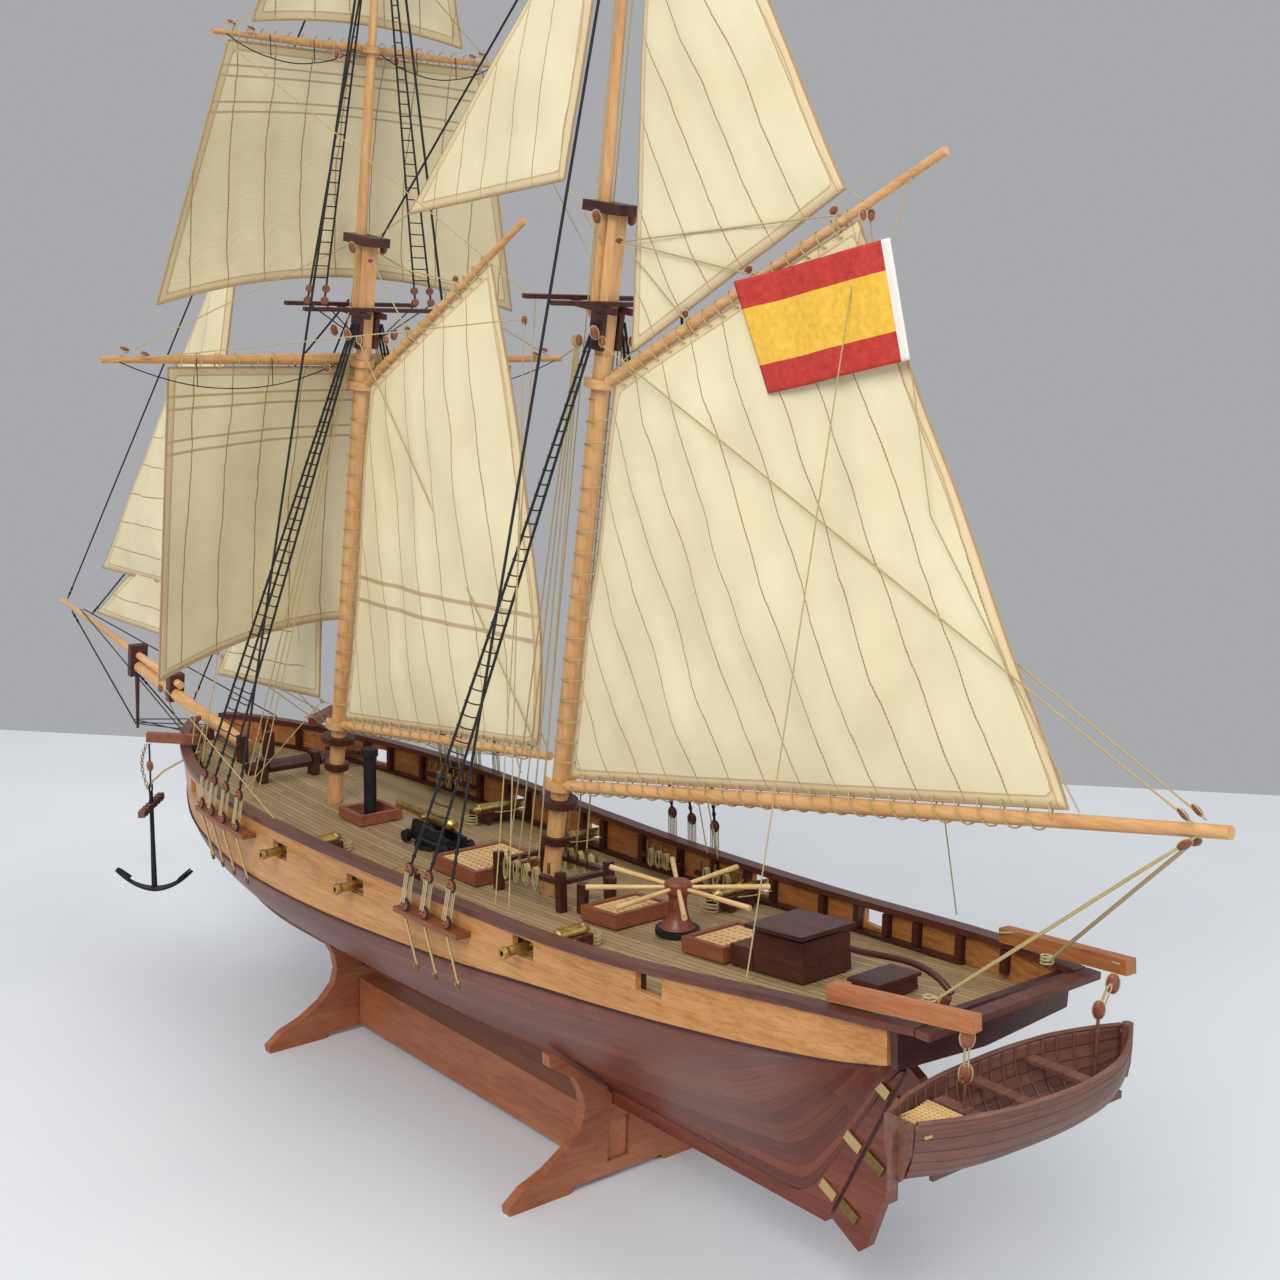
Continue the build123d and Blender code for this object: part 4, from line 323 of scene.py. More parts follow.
def math_node(nt, op, a, b=None, c=None):
    m = nt.nodes.new("ShaderNodeMath")
    m.operation = op
    for i, x in enumerate((a, b, c)):
        if x is None:
            continue
        if isinstance(x, (int, float)):
            m.inputs[i].default_value = x
        else:
            link(nt, x, m.inputs[i])
    return m.outputs[0]


def bump(nt, b, h, strength=0.2, dist=0.0003):
    n = nt.nodes.new("ShaderNodeBump")
    n.inputs["Strength"].default_value = strength
    n.inputs["Distance"].default_value = dist
    link(nt, h, n.inputs["Height"])
    link(nt, n.outputs["Normal"], b.inputs["Normal"])


def wood(name, dark, mid, light, grain="X", rough=0.42, fine=1.0, coord="Object", stretch=(45, 700)):
    m, nt, b = new_mat(name)
    a, c = stretch
    sc = {"X": (a, c, c), "Y": (c, a, c), "Z": (c, c, a)}[grain]
    vec = mapped(nt, sc, coord)
    n1 = noise_tex(nt, vec, 1.0 * fine, 5.0, 0.62, 0.5)
    broad = noise_tex(nt, mapped(nt, tuple(s * 0.12 for s in sc), coord), 1.0, 3.0, 0.5, 0.2)
    f = math_node(nt, "MULTIPLY_ADD", broad, 0.45, math_node(nt, "MULTIPLY", n1, 0.6))
    col = ramp(nt, f, [(0.3, dark), (0.5, mid), (0.72, light)])
    link(nt, col, b.inputs["Base Color"])
    b.inputs["Roughness"].default_value = rough
    b.inputs["Specular IOR Level"].default_value = 0.4
    bump(nt, b, n1, 0.12, 0.0002)
    m["out"] = 1
    return m


def planked(name, dark, mid, light, seam, uvscale, width, rough=0.45, mortar=0.035, coord="Object", rows="XY", offset=0.37, grain_uv=False):
    """Planks: brick pattern over the wood grain, each plank a slightly different tone."""
    m, nt, b = new_mat(name)
    if coord == "UV":
        vec = mapped(nt, (1, 1, 1), "UV")
    else:
        vec = mapped(nt, (uvscale, uvscale, uvscale), "Object")
    br = nt.nodes.new("ShaderNodeTexBrick")
    br.offset = offset
    br.offset_frequency = 2
    br.inputs["Scale"].default_value = 1.0
    br.inputs["Brick Width"].default_value = width
    br.inputs["Row Height"].default_value = 1.0
    br.inputs["Mortar Size"].default_value = mortar
    br.inputs["Mortar Smooth"].default_value = 0.1
    br.inputs["Bias"].default_value = 0.0
    br.inputs["Color1"].default_value = (0.12, 0.12, 0.12, 1)
    br.inputs["Color2"].default_value = (0.88, 0.88, 0.88, 1)
    br.inputs["Mortar"].default_value = (0.5, 0.5, 0.5, 1)
    link(nt, vec, br.inputs["Vector"])
    mp = nt.nodes.new("ShaderNodeMapping")
    mp.inputs["Scale"].default_value = (0.28, 3.2, 3.2)
    link(nt, vec, mp.inputs["Vector"])
    n1 = noise_tex(nt, mp.outputs["Vector"], 1.0, 6.0, 0.65, 0.4)
    sep = nt.nodes.new("ShaderNodeSeparateColor")
    link(nt, br.outputs["Color"], sep.inputs[0])
    tone = math_node(nt, "MULTIPLY_ADD", sep.outputs[0], 0.4, math_node(nt, "MULTIPLY", n1, 0.6))
    col = ramp(nt, tone, [(0.22, dark), (0.5, mid), (0.8, light)])
    out = mixc(nt, br.outputs["Fac"], col, seam)
    link(nt, out, b.inputs["Base Color"])
    b.inputs["Roughness"].default_value = rough
    h = math_node(nt, "MULTIPLY_ADD", br.outputs["Fac"], -0.8, math_node(nt, "MULTIPLY", n1, 0.25))
    bump(nt, b, h, 0.25, 0.0002)
    return m


def cordage(name, a, c, scale=2600.0):
    m, nt, b = new_mat(name)
    vec = mapped(nt, (scale, scale, scale))
    w = nt.nodes.new("ShaderNodeTexWave")
    w.wave_type = "BANDS"
    w.bands_direction = "DIAGONAL"
    w.inputs["Scale"].default_value = 0.5
    w.inputs["Distortion"].default_value = 1.5
    link(nt, vec, w.inputs["Vector"])
    col = ramp(nt, w.outputs["Fac"], [(0.1, a), (0.75, c)])
    n = noise_tex(nt, mapped(nt, (300, 300, 300)), 1.0, 3.0)
    col2 = mixc(nt, n, col, a)
    link(nt, col2, b.inputs["Base Color"])
    b.inputs["Roughness"].default_value = 0.8
    bump(nt, b, w.outputs["Fac"], 0.5, 0.0003)
    return m


def metal(name, a, c, rough=0.35, metallic=1.0):
    m, nt, b = new_mat(name)
    n = noise_tex(nt, mapped(nt, (220, 220, 220)), 1.0, 6.0, 0.65)
    col = ramp(nt, n, [(0.3, a), (0.7, c)])
    link(nt, col, b.inputs["Base Color"])
    b.inputs["Metallic"].default_value = metallic
    r = nt.nodes.new("ShaderNodeMapRange")
    r.inputs["To Min"].default_value = rough
    r.inputs["To Max"].default_value = rough + 0.2
    link(nt, n, r.inputs["Value"])
    link(nt, r.outputs[0], b.inputs["Roughness"])
    bump(nt, b, n, 0.08, 0.0002)
    return m


def sailcloth(name, light, dark, seam, edge, reef=()):
    """Cloth: weave, faint soiling, brown stitched seams in UV 'cloth', hem and reef bands in UV 'hem'."""
    m, nt, b = new_mat(name)
    uv = nt.nodes.new("ShaderNodeUVMap")
    uv.uv_map = "cloth"
    hem = nt.nodes.new("ShaderNodeUVMap")
    hem.uv_map = "hem"
    s1 = nt.nodes.new("ShaderNodeSeparateXYZ")
    s2 = nt.nodes.new("ShaderNodeSeparateXYZ")
    link(nt, uv.outputs[0], s1.inputs[0])
    link(nt, hem.outputs[0], s2.inputs[0])
    n0 = noise_tex(nt, mapped(nt, (22, 22, 22)), 1.0, 4.0, 0.55, 0.3)
    n1 = noise_tex(nt, mapped(nt, (160, 160, 160)), 1.0, 5.0, 0.7)
    base = ramp(nt, n0, [(0.25, dark), (0.7, light)])
    base = mixc(nt, math_node(nt, "MULTIPLY", n1, 0.35), base, dark)
    wob = math_node(nt, "MULTIPLY_ADD", n0, 0.34, s1.outputs[0])
    pp = math_node(nt, "PINGPONG", wob, 0.5)
    line = math_node(nt, "LESS_THAN", pp, 0.017)
    # stitches break the seam line up
    st = math_node(nt, "PINGPONG", math_node(nt, "MULTIPLY", s1.outputs[1], 1.0), 0.5)
    stitch = math_node(nt, "MULTIPLY_ADD", math_node(nt, "GREATER_THAN", st, 0.15), 0.35, 0.6)
    mask = math_node(nt, "MULTIPLY", line, stitch)
    hemline = math_node(nt, "LESS_THAN", math_node(nt, "ABSOLUTE", math_node(nt, "SUBTRACT", s2.outputs[0], 0.34)), 0.035)
    mask = math_node(nt, "MAXIMUM", mask, math_node(nt, "MULTIPLY", hemline, 0.6))
    for r in reef:
        l = math_node(nt, "LESS_THAN", math_node(nt, "ABSOLUTE", math_node(nt, "SUBTRACT", s2.outputs[1], r)), 0.0045)
        mask = math_node(nt, "MAXIMUM", mask, math_node(nt, "MULTIPLY", l, 0.6))
    col = mixc(nt, mask, base, seam)
    border = math_node(nt, "MULTIPLY", math_node(nt, "LESS_THAN", s2.outputs[0], 0.34), 0.55)
    col = mixc(nt, border, col, edge)
    link(nt, col, b.inputs["Base Color"])
    b.inputs["Roughness"].default_value = 0.9
    b.inputs["Specular IOR Level"].default_value = 0.15
    w1 = nt.nodes.new("ShaderNodeTexWave")
    w1.inputs["Scale"].default_value = 1.0
    w1.bands_direction = "X"
    link(nt, mapped(nt, (900, 900, 900)), w1.inputs["Vector"])
    w2 = nt.nodes.new("ShaderNodeTexWave")
    w2.inputs["Scale"].default_value = 1.0
    w2.bands_direction = "Z"
    link(nt, mapped(nt, (900, 900, 900)), w2.inputs["Vector"])
    h = math_node(nt, "ADD", math_node(nt, "MULTIPLY", w1.outputs["Fac"], w2.outputs["Fac"]), math_node(nt, "MULTIPLY", mask, -1.2))
    h = math_node(nt, "MULTIPLY_ADD", n1, 1.5, h)
    bump(nt, b, h, 0.3, 0.0003)
    return m


MAHOG = wood("hull mahogany", (0.085, 0.016, 0.009), (0.165, 0.038, 0.020), (0.26, 0.075, 0.038), rough=0.34)
DARK = wood("dark mahogany", (0.022, 0.006, 0.006), (0.050, 0.012, 0.010), (0.095, 0.026, 0.018), rough=0.38)
REDWOOD = wood("red wood", (0.12, 0.030, 0.014), (0.21, 0.060, 0.026), (0.30, 0.105, 0.048), rough=0.4)
RAILW = wood("rail wood", (0.045, 0.012, 0.009), (0.095, 0.026, 0.018), (0.15, 0.048, 0.030), rough=0.32)
OAK = wood("light strake", (0.24, 0.085, 0.020), (0.46, 0.205, 0.058), (0.60, 0.32, 0.115), rough=0.32, stretch=(60, 1100))
SPAR = wood("spar wood", (0.42, 0.19, 0.065), (0.60, 0.315, 0.125), (0.72, 0.44, 0.20), grain="Z", rough=0.4)
SPARX = wood("spar wood lengthwise", (0.44, 0.20, 0.07), (0.61, 0.325, 0.13), (0.73, 0.45, 0.21), grain="X", rough=0.4)
SPARY = wood("spar wood athwart", (0.36, 0.16, 0.055), (0.52, 0.265, 0.10), (0.63, 0.37, 0.165), grain="Y", rough=0.4)
BOX = wood("boxwood", (0.42, 0.24, 0.085), (0.62, 0.40, 0.17), (0.75, 0.53, 0.26), rough=0.4)
DAVW = wood("davit wood", (0.22, 0.06, 0.018), (0.38, 0.125, 0.04), (0.50, 0.20, 0.075), rough=0.38)
PLY = wood("cradle plywood", (0.19, 0.050, 0.020), (0.31, 0.098, 0.042), (0.41, 0.155, 0.072), grain="Y", rough=0.4, stretch=(60, 500))
PLYX = wood("stand board", (0.21, 0.058, 0.022), (0.34, 0.110, 0.046), (0.44, 0.17, 0.078), grain="X", rough=0.4, stretch=(60, 500))
BOATW = wood("boat wood", (0.085, 0.030, 0.022), (0.16, 0.065, 0.045), (0.24, 0.11, 0.075), grain="Y", rough=0.5)
HULLP = planked("hull planks", (0.080, 0.014, 0.008), (0.165, 0.036, 0.018), (0.27, 0.072, 0.034), (0.040, 0.008, 0.005), 1, 19.0,
                coord="UV", mortar=0.022, rough=0.36)
DECKP = planked("deck planks", (0.22, 0.135, 0.062), (0.33, 0.22, 0.105), (0.42, 0.30, 0.155), (0.050, 0.030, 0.016), 1000 / 3.1, 21.0,
                mortar=0.055, rough=0.55)
BOATP = planked("boat planks", (0.085, 0.028, 0.020), (0.16, 0.062, 0.042), (0.24, 0.105, 0.07), (0.035, 0.012, 0.009), 1, 16.0,
                coord="UV", mortar=0.04, rough=0.5)
BRASS = metal("brass", (0.30, 0.19, 0.055), (0.60, 0.42, 0.15), 0.28)
BRASSD = metal("aged brass", (0.16, 0.105, 0.04), (0.36, 0.24, 0.09), 0.38)
IRON = metal("blackened metal", (0.010, 0.010, 0.012), (0.028, 0.028, 0.032), 0.45, 0.6)
TAN = cordage("tan line", (0.40, 0.30, 0.115), (0.66, 0.56, 0.29))
LANY = cordage("pale line", (0.46, 0.38, 0.20), (0.72, 0.65, 0.42))
BLACK = cordage("tarred line", (0.005, 0.005, 0.008), (0.028, 0.028, 0.040))
BOLT = cordage("bolt rope", (0.36, 0.22, 0.10), (0.58, 0.42, 0.24), 1500.0)
SAIL = sailcloth("sailcloth", (0.84, 0.755, 0.52), (0.71, 0.615, 0.39), (0.36, 0.20, 0.085), (0.64, 0.48, 0.26))
SAIL_R = sailcloth("sailcloth with reef band", (0.84, 0.755, 0.52), (0.71, 0.615, 0.39), (0.36, 0.20, 0.085), (0.64, 0.48, 0.26), reef=(0.285, 0.335))
# square sails: the same cloth with every colour painted darker, painted shade for sails that face away from the light
SAIL_SQ_SHADED = sailcloth("square sailcloth with painted shade", (0.74, 0.655, 0.43), (0.60, 0.51, 0.315), (0.30, 0.17, 0.075), (0.50, 0.36, 0.19), reef=(0.73, 0.77, 0.87, 0.91))


def inner_outer(name, s):
    """Light wood outside, red wood on the inboard face."""
    m = OAK.copy()
    m.name = name
    nt = m.node_tree
    b = nt.nodes["Principled BSDF"]
    outer = b.inputs["Base Color"].links[0].from_socket
    n = noise_tex(nt, mapped(nt, (45, 700, 700)), 1.0, 5.0, 0.62, 0.5)
    red = ramp(nt, n, [(0.3, (0.26, 0.085, 0.024)), (0.55, (0.42, 0.165, 0.048)), (0.75, (0.54, 0.24, 0.08))])
    tc = nt.nodes.new("ShaderNodeTexCoord")
    sp = nt.nodes.new("ShaderNodeSeparateXYZ")
    link(nt, tc.outputs["Normal"], sp.inputs[0])
    f = math_node(nt, "LESS_THAN", math_node(nt, "MULTIPLY", sp.outputs[1], float(s)), -0.2)
    link(nt, mixc(nt, f, outer, red), b.inputs["Base Color"])
    return m


def dress(node, mat, smooth=None):
    ob = N[node]
    ob.data.materials.clear()
    ob.data.materials.append(mat)
    for p in ob.data.polygons:
        p.material_index = 0


for node, mat in {
    "keel_stem_sternpost": MAHOG, "internal_frame": PLY, "deck": DECKP, "timberheads": DARK, "cap_rail": RAILW, "transom": DARK,
    "channels": REDWOOD, "davits": DAVW, "hatch_coamings": REDWOOD, "hatch_gratings": BOX, "deckhouses": DARK,
    "bitts_and_rails": DARK, "belaying_pins": BRASS, "chimney": IRON, "windlass_barrel": DARK, "capstan_base": IRON,
    "capstan_drum": MAHOG, "capstan_bars": BOX, "gun_carriages": DARK, "gun_barrels": BRASS, "pivot_carriage": IRON,
    "pivot_barrel": BRASS, "main_lower_mast": SPAR, "fore_lower_mast": SPAR, "topmasts": SPAR, "spar_fittings": DARK,
    "crosstrees": DARK, "bowsprit": SPARX, "jibboom": SPARX, "main_boom": SPARX, "main_gaff": SPARX, "fore_boom": SPARX,
    "fore_gaff": SPARX, "lower_yard": SPARY, "topsail_yards": SPARY, "rudder_blade": MAHOG, "rudder_straps": BRASSD,
    "tiller": DARK, "stand_cradles": PLY, "stand_board": PLYX, "anchor_stock": BOATW, "boat_fittings": BOATW,
}.items():
    dress(node, mat)
dress("bulwark_port", inner_outer("port bulwark", 1))
dress("bulwark_starboard", inner_outer("starboard bulwark", -1))

# ------------------------------------------------------------------ hull planking, fine surface with plank seams
def hull_surface():
    xs = []
    x = -286.0
    while x < 284.0:
        xs.append(x)
        x += 3.0 if (x > 225 or x < -205) else 6.0
    xs.append(284.0)
    us = [i / 44 for i in range(45)]
    rows = 13.0
    verts, faces, uvs = [], [], []
    for x in xs:
        for u in us:
            y, z = girth(x, u)
            verts.append((x, y, z))
            uvs.append((x / 6.2, rows * (0.25 * u + 0.75 * (1 - (1 - u) ** 1.25))))
    nu = len(us)
    ob_faces = []
    for s in (1, -1):
        base = 0 if s == 1 else len(verts) // 1
        if s == -1:
            half = list(verts)
            verts = half + [(p[0], -p[1], p[2]) for p in half]
            uvs = uvs + [(a[0] + 7.3, a[1] + 40) for a in uvs]
            base = len(half)
        for i in range(len(xs) - 1):
            for j in range(nu - 1):
                a, b, c, d = (base + i * nu + j, base + i * nu + j + 1, base + (i + 1) * nu + j + 1, base + (i + 1) * nu + j)
                ob_faces.append((a, b, c, d) if s == 1 else (d, c, b, a))
    me = bpy.data.meshes.new("hull_planks")
    me.from_pydata([W(p) for p in verts], [], ob_faces)
    me.update()
    lay = me.uv_layers.new(name="UVMap")
    idx = np.zeros(len(me.loops), int)
    me.loops.foreach_get("vertex_index", idx)
    lay.data.foreach_set("uv", np.array(uvs, float)[idx].ravel())
    me.polygons.foreach_set("use_smooth", [True] * len(me.polygons))
    ob = bpy.data.objects.new("hull_planks", me)
    bpy.context.scene.collection.objects.link(ob)
    me.materials.append(HULLP)
    mod = ob.modifiers.new("thick", "SOLIDIFY")
    mod.thickness = 0.0016
    mod.offset = -1.0
    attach(ob, "hull")
    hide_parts("hull_planking")


hull_surface()

moulding = Bag("strake_moulding")
for s in (1, -1):
    moulding.tube([(x, s * (wale_b(x) + 0.3), wale_z(x) - 0.5) for x in np.linspace(-284, 281, 90)], 0.85, 8)
moulding.build(DARK, slot="dark_wood")

# ------------------------------------------------------------------ spars and lines shared by the pieces below
BOOM0, BOOM_RISE, BOOM_LEN = (main_x(165.0) - 5.5, 165.0), 9.7, 319.0
GAFF0, GAFF_RISE, GAFF_LEN = (main_x(337.0) - 5.5, 337.8), 24.6, 188.0
FBOOM0, FBOOM_RISE, FBOOM_LEN = (fore_x(156.5) - 5.5, 156.5), 6.2, 177.0
FGAFF0, FGAFF_RISE, FGAFF_LEN = (fore_x(330.0) - 5.5, 330.8), 29.0, 148.0
YARD_Z, TYARD_Z, GYARD_Z = 340.5, 484.0, 556.0


def on_spar(start, rise, d, n=0.0, y=0.0):
    a = math.radians(rise)
    return (start[0] - d * math.cos(a) + n * math.sin(a), y, start[1] + d * math.sin(a) + n * math.cos(a))


def build_mesh(name, verts, faces, mat, body, uvs, smooth=True, thick=None, replaces=()):
    """uvs maps a layer name to one (u, v) per vertex."""
    me = bpy.data.meshes.new(name)
    me.from_pydata([W(p) for p in verts], [], faces)
    me.update()
    idx = np.zeros(len(me.loops), int)
    me.loops.foreach_get("vertex_index", idx)
    for layer, per_vertex in uvs.items():
        lay = me.uv_layers.new(name=layer)
        lay.data.foreach_set("uv", np.array(per_vertex, float)[idx].ravel())
    me.polygons.foreach_set("use_smooth", [smooth] * len(me.polygons))
    ob = bpy.data.objects.new(name, me)
    bpy.context.scene.collection.objects.link(ob)
    me.materials.append(mat)
    if thick:
        mod = ob.modifiers.new("thick", "SOLIDIFY")
        mod.thickness = thick
        mod.offset = 0.0
    if body:
        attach(ob, body)
    if replaces:
        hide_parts(*replaces)
    return ob


def seg_dist(p, a, b):
    ax, az = a
    dx, dz = b[0] - ax, b[1] - az
    t = max(0.0, min(1.0, ((p[0] - ax) * dx + (p[1] - az) * dz) / (dx * dx + dz * dz)))
    return math.hypot(p[0] - ax - t * dx, p[1] - az - t * dz)


def flat_size(poly):
    area = 0.5 * abs(sum(poly[i][0] * poly[(i + 1) % len(poly)][1] - poly[(i + 1) % len(poly)][0] * poly[i][1] for i in range(len(poly))))
    best = None
    for i in range(len(poly)):
        a, b = poly[i], poly[(i + 1) % len(poly)]
        l = math.hypot(b[0] - a[0], b[1] - a[1])
        d = ((b[0] - a[0]) / l, (b[1] - a[1]) / l)
        s = [p[0] * d[0] + p[1] * d[1] for p in poly]
        t = [-p[0] * d[1] + p[1] * d[0] for p in poly]
        w, h = max(s) - min(s), max(t) - min(t)
        if best is None or w * h < best[0] * best[1]:
            best = (w, h)
    return best, area


CLOTH_W = 18.0
SHEETS = []


def fore_and_aft_sail(name, corners, leech, body, mat, belly=4.0, seed=0, nu=72, nv=72, y0=0.0, replaces=(), mitre=None, roach=0.0):
    """corners: tack, clew, then peak and throat, or the one head. leech: two points that the cloths run parallel to."""
    tri = len(corners) == 3
    A, B = corners[0], corners[1]
    C = corners[2]
    D = corners[2] if tri else corners[3]
    poly = corners
    la, lb = leech
    ll = math.hypot(lb[0] - la[0], lb[1] - la[1])
    ld = ((lb[0] - la[0]) / ll, (lb[1] - la[1]) / ll)
    verts, cloth, hem = [], [], []
    zmin, zmax = min(p[1] for p in poly), max(p[1] for p in poly)
    for j in range(nv + 1):
        v = j / nv
        if tri:
            v = v * 0.995
        for i in range(nu + 1):
            u = i / nu
            x = (A[0] * (1 - u) + B[0] * u) * (1 - v) + (D[0] * (1 - u) + C[0] * u) * v
            z = (A[1] * (1 - u) + B[1] * u) * (1 - v) + (D[1] * (1 - u) + C[1] * u) * v
            edge = min(seg_dist((x, z), poly[k], poly[(k + 1) % len(poly)]) for k in range(len(poly)))
            inner = min(1.0, edge / 24.0)
            n = noise.noise(Vector((x * 0.018 + seed, z * 0.011, seed * 3.1)))
            n2 = noise.noise(Vector((x * 0.05 + seed, z * 0.03, seed * 1.7)))
            perp = (x - la[0]) * -ld[1] + (z - la[1]) * ld[0]
            alongd = (x - la[0]) * ld[0] + (z - la[1]) * ld[1]
            dx = 2.6 * noise.noise(Vector((seed * 2.3, z * 0.016, 4.0 if u > 0.5 else 9.0))) * (abs(2 * u - 1) ** 3) * math.sin(math.pi * min(1.0, v * 1.0)) ** 0.7
            x += dx - roach * u**3 * math.sin(math.pi * v**0.75)
            pucker = 0.22 * math.cos(2 * math.pi * perp / CLOTH_W) * inner
            y = y0 + belly * (16 * u * (1 - u) * v * (1 - v)) ** 0.6 + (3.2 * n + 1.7 * n2) * (0.25 + 0.75 * inner) + pucker
            verts.append((x, y, z))
            if mitre is not None:
                m = (x - B[0]) * mitre[1] - (z - B[1]) * mitre[0]
                if m > 0:
                    fx, fz = A[0] - B[0], A[1] - B[1]
                    fl = math.hypot(fx, fz)
                    perp = ((x - B[0]) * -fz + (z - B[1]) * fx) / fl
            cloth.append((perp / CLOTH_W, alongd / 1.6))
            hem.append((edge / 10.5, (z - zmin) / (zmax - zmin)))
    w = nu + 1
    faces = [(j * w + i, j * w + i + 1, (j + 1) * w + i + 1, (j + 1) * w + i) for j in range(nv) for i in range(nu)]
    ob = build_mesh(name, verts, faces, mat, body, {"cloth": cloth, "hem": hem}, thick=0.0005, replaces=replaces)
    edge_loop = [verts[i] for i in range(w)] + [verts[j * w + nu] for j in range(1, nv + 1)] + \
        [verts[nv * w + i] for i in range(nu - 1, 0, -1)] * (0 if tri else 1) + [verts[j * w] for j in range(nv, 0, -1)]
    bag = Bag(name + "_boltrope")
    bag.tube(edge_loop, 0.5, 6, closed=True)
    rope = bag.build(BOLT, body, slot="sailcloth")
    (fw, fl), area = flat_size(poly)
    return ob


MAINSAIL = [(p[0], p[2]) for p in (on_spar(BOOM0, BOOM_RISE, 1.5, 3.8), on_spar(BOOM0, BOOM_RISE, 262, 3.9),
                                  on_spar(GAFF0, GAFF_RISE, 146, -3.2), on_spar(GAFF0, GAFF_RISE, 3.0, -3.2))]
FORESAIL = [(p[0], p[2]) for p in (on_spar(FBOOM0, FBOOM_RISE, 1.5, 3.4), on_spar(FBOOM0, FBOOM_RISE, 167, 3.4),
                                  on_spar(FGAFF0, FGAFF_RISE, 118, -3.0), on_spar(FGAFF0, FGAFF_RISE, 3.0, -3.0))]
TOPSAIL_GAFF = [(-101.0, 349.5), (-214.4, 406.5), (main_top_x(571) - 6.5, 571.0)]
TOP_STAYSAIL = [(62.0, 409.0), (-56.4, 417.8), (-89.0, 541.0)]
JIBS = [[(426, 204.0), (286, 206), (218, 424)], [(440, 173.4), (268, 172), (192, 315)], [(272, 160), (154.6, 166.5), (139, 318)]]

fore_and_aft_sail("mainsail_cloth", MAINSAIL, (MAINSAIL[1], MAINSAIL[2]), "main_sail", SAIL, 5.0, 1.3, replaces=["mainsail"])
fore_and_aft_sail("foresail_cloth", FORESAIL, (FORESAIL[1], FORESAIL[2]), "fore_sail", SAIL_R, 4.0, 4.1, replaces=["foresail"], roach=11.0)
fore_and_aft_sail("gaff_topsail_cloth", TOPSAIL_GAFF, (TOPSAIL_GAFF[1], TOPSAIL_GAFF[2]), "main_sail", SAIL, 3.0, 6.5,
                  replaces=["gaff_topsail"])
fore_and_aft_sail("main_topmast_staysail", TOP_STAYSAIL, (TOP_STAYSAIL[1], TOP_STAYSAIL[2]), "hull", SAIL, 3.0, 8.2)
for k, tri in enumerate(JIBS):
    d = Vector((tri[0][0] - tri[1][0] + (tri[2][0] - tri[1][0]) * 0.9, tri[0][1] - tri[1][1] + (tri[2][1] - tri[1][1]) * 0.9)).normalized()
    jib = fore_and_aft_sail("jib_%d" % (k + 1), tri, (tri[1], tri[2]), "hull", SAIL, 4.0, 11.3 + k, mitre=(d.x, d.y), y0=(2.4, 1.3, 0.0)[k])
    if k == 0:
        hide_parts("staysails")


def square_sail(name, f, rake, z, fwd, top, foot, drop, arch, body, mat, seed, belly=7.0, reef=True, nu=80, nv=60):
    n = Vector((1, 0, -rake)).normalized()
    o = Vector((f(z), 0, z)) + n * fwd
    up = n.cross(Vector((0, 1, 0)))
    if up.z < 0:
        up = -up
    verts, cloth, hem = [], [], []
    for j in range(nv + 1):
        v = j / nv
        for i in range(nu + 1):
            t = -1 + 2 * i / nu
            half = top + (foot - top) * v
            bottom = arch + (drop - arch) * t * t
            lx, ly = half * t, -bottom * v
            edge = min(half * (1 - abs(t)), bottom * (1 - v), bottom * v)
            inner = min(1.0, edge / 16.0)
            nn = noise.noise(Vector((lx * 0.03 + seed, ly * 0.012, seed)))
            puck = 0.2 * math.cos(2 * math.pi * lx / 19.0) * inner
            d = belly * (1 - t * t) ** 0.8 * math.sin(math.pi * min(1, v * 0.97)) ** 0.8 + 1.3 * nn * inner + puck + 1.5 * v
            p = o + Vector((0, 1, 0)) * lx + up * ly + n * d
            verts.append(tuple(p))
            cloth.append((lx / 19.0 + 0.5, ly / 1.8))
            hem.append((edge / 10.5, 1 - v))
    w = nu + 1
    faces = [(j * w + i, j * w + i + 1, (j + 1) * w + i + 1, (j + 1) * w + i) for j in range(nv) for i in range(nu)]
    ob = build_mesh(name, verts, faces, mat, body, {"cloth": cloth, "hem": hem}, thick=0.0005)
    loop = [verts[i] for i in range(w)] + [verts[j * w + nu] for j in range(1, nv + 1)] + \
        [verts[nv * w + i] for i in range(nu - 1, -1, -1)] + [verts[j * w] for j in range(nv - 1, 0, -1)]
    bag = Bag(name + "_boltrope")
    bag.tube(loop, 0.5, 6, closed=True)
    rope = bag.build(BOLT, body, slot="sailcloth")
    # head lacing round the yard
    robands = Bag(name + "_robands")
    for i in range(2, nu - 1, 4):
        a = Vector(verts[i])
        c = a + up * 3.2 - n * 0.4
        robands.ring(c, (0, 1, 0), 3.6, 0.28, 12, 5)
    robands.build(TAN, body, slot="tan_cord")
    return ob


# the square sails use the darker cloth, painted shade
course = square_sail("course_cloth", fore_x, -0.157, YARD_Z - 3.8, 10.5, 95, 94, 152, 130, "course_yard", SAIL_SQ_SHADED, 2.2)
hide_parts("course")
upper = square_sail("topsail_cloth", fore_top_x, -0.14, TYARD_Z - 3.0, 8.2, 68, 98, 117, 102, "topsail_yard", SAIL_SQ_SHADED, 5.5)
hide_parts("topsails")
square_sail("topgallant_cloth", fore_top_x, -0.14, GYARD_Z - 2.4, 8.2, 37, 56, 64, 59, "topsail_yard", SAIL_SQ_SHADED, 9.5, 4.0)


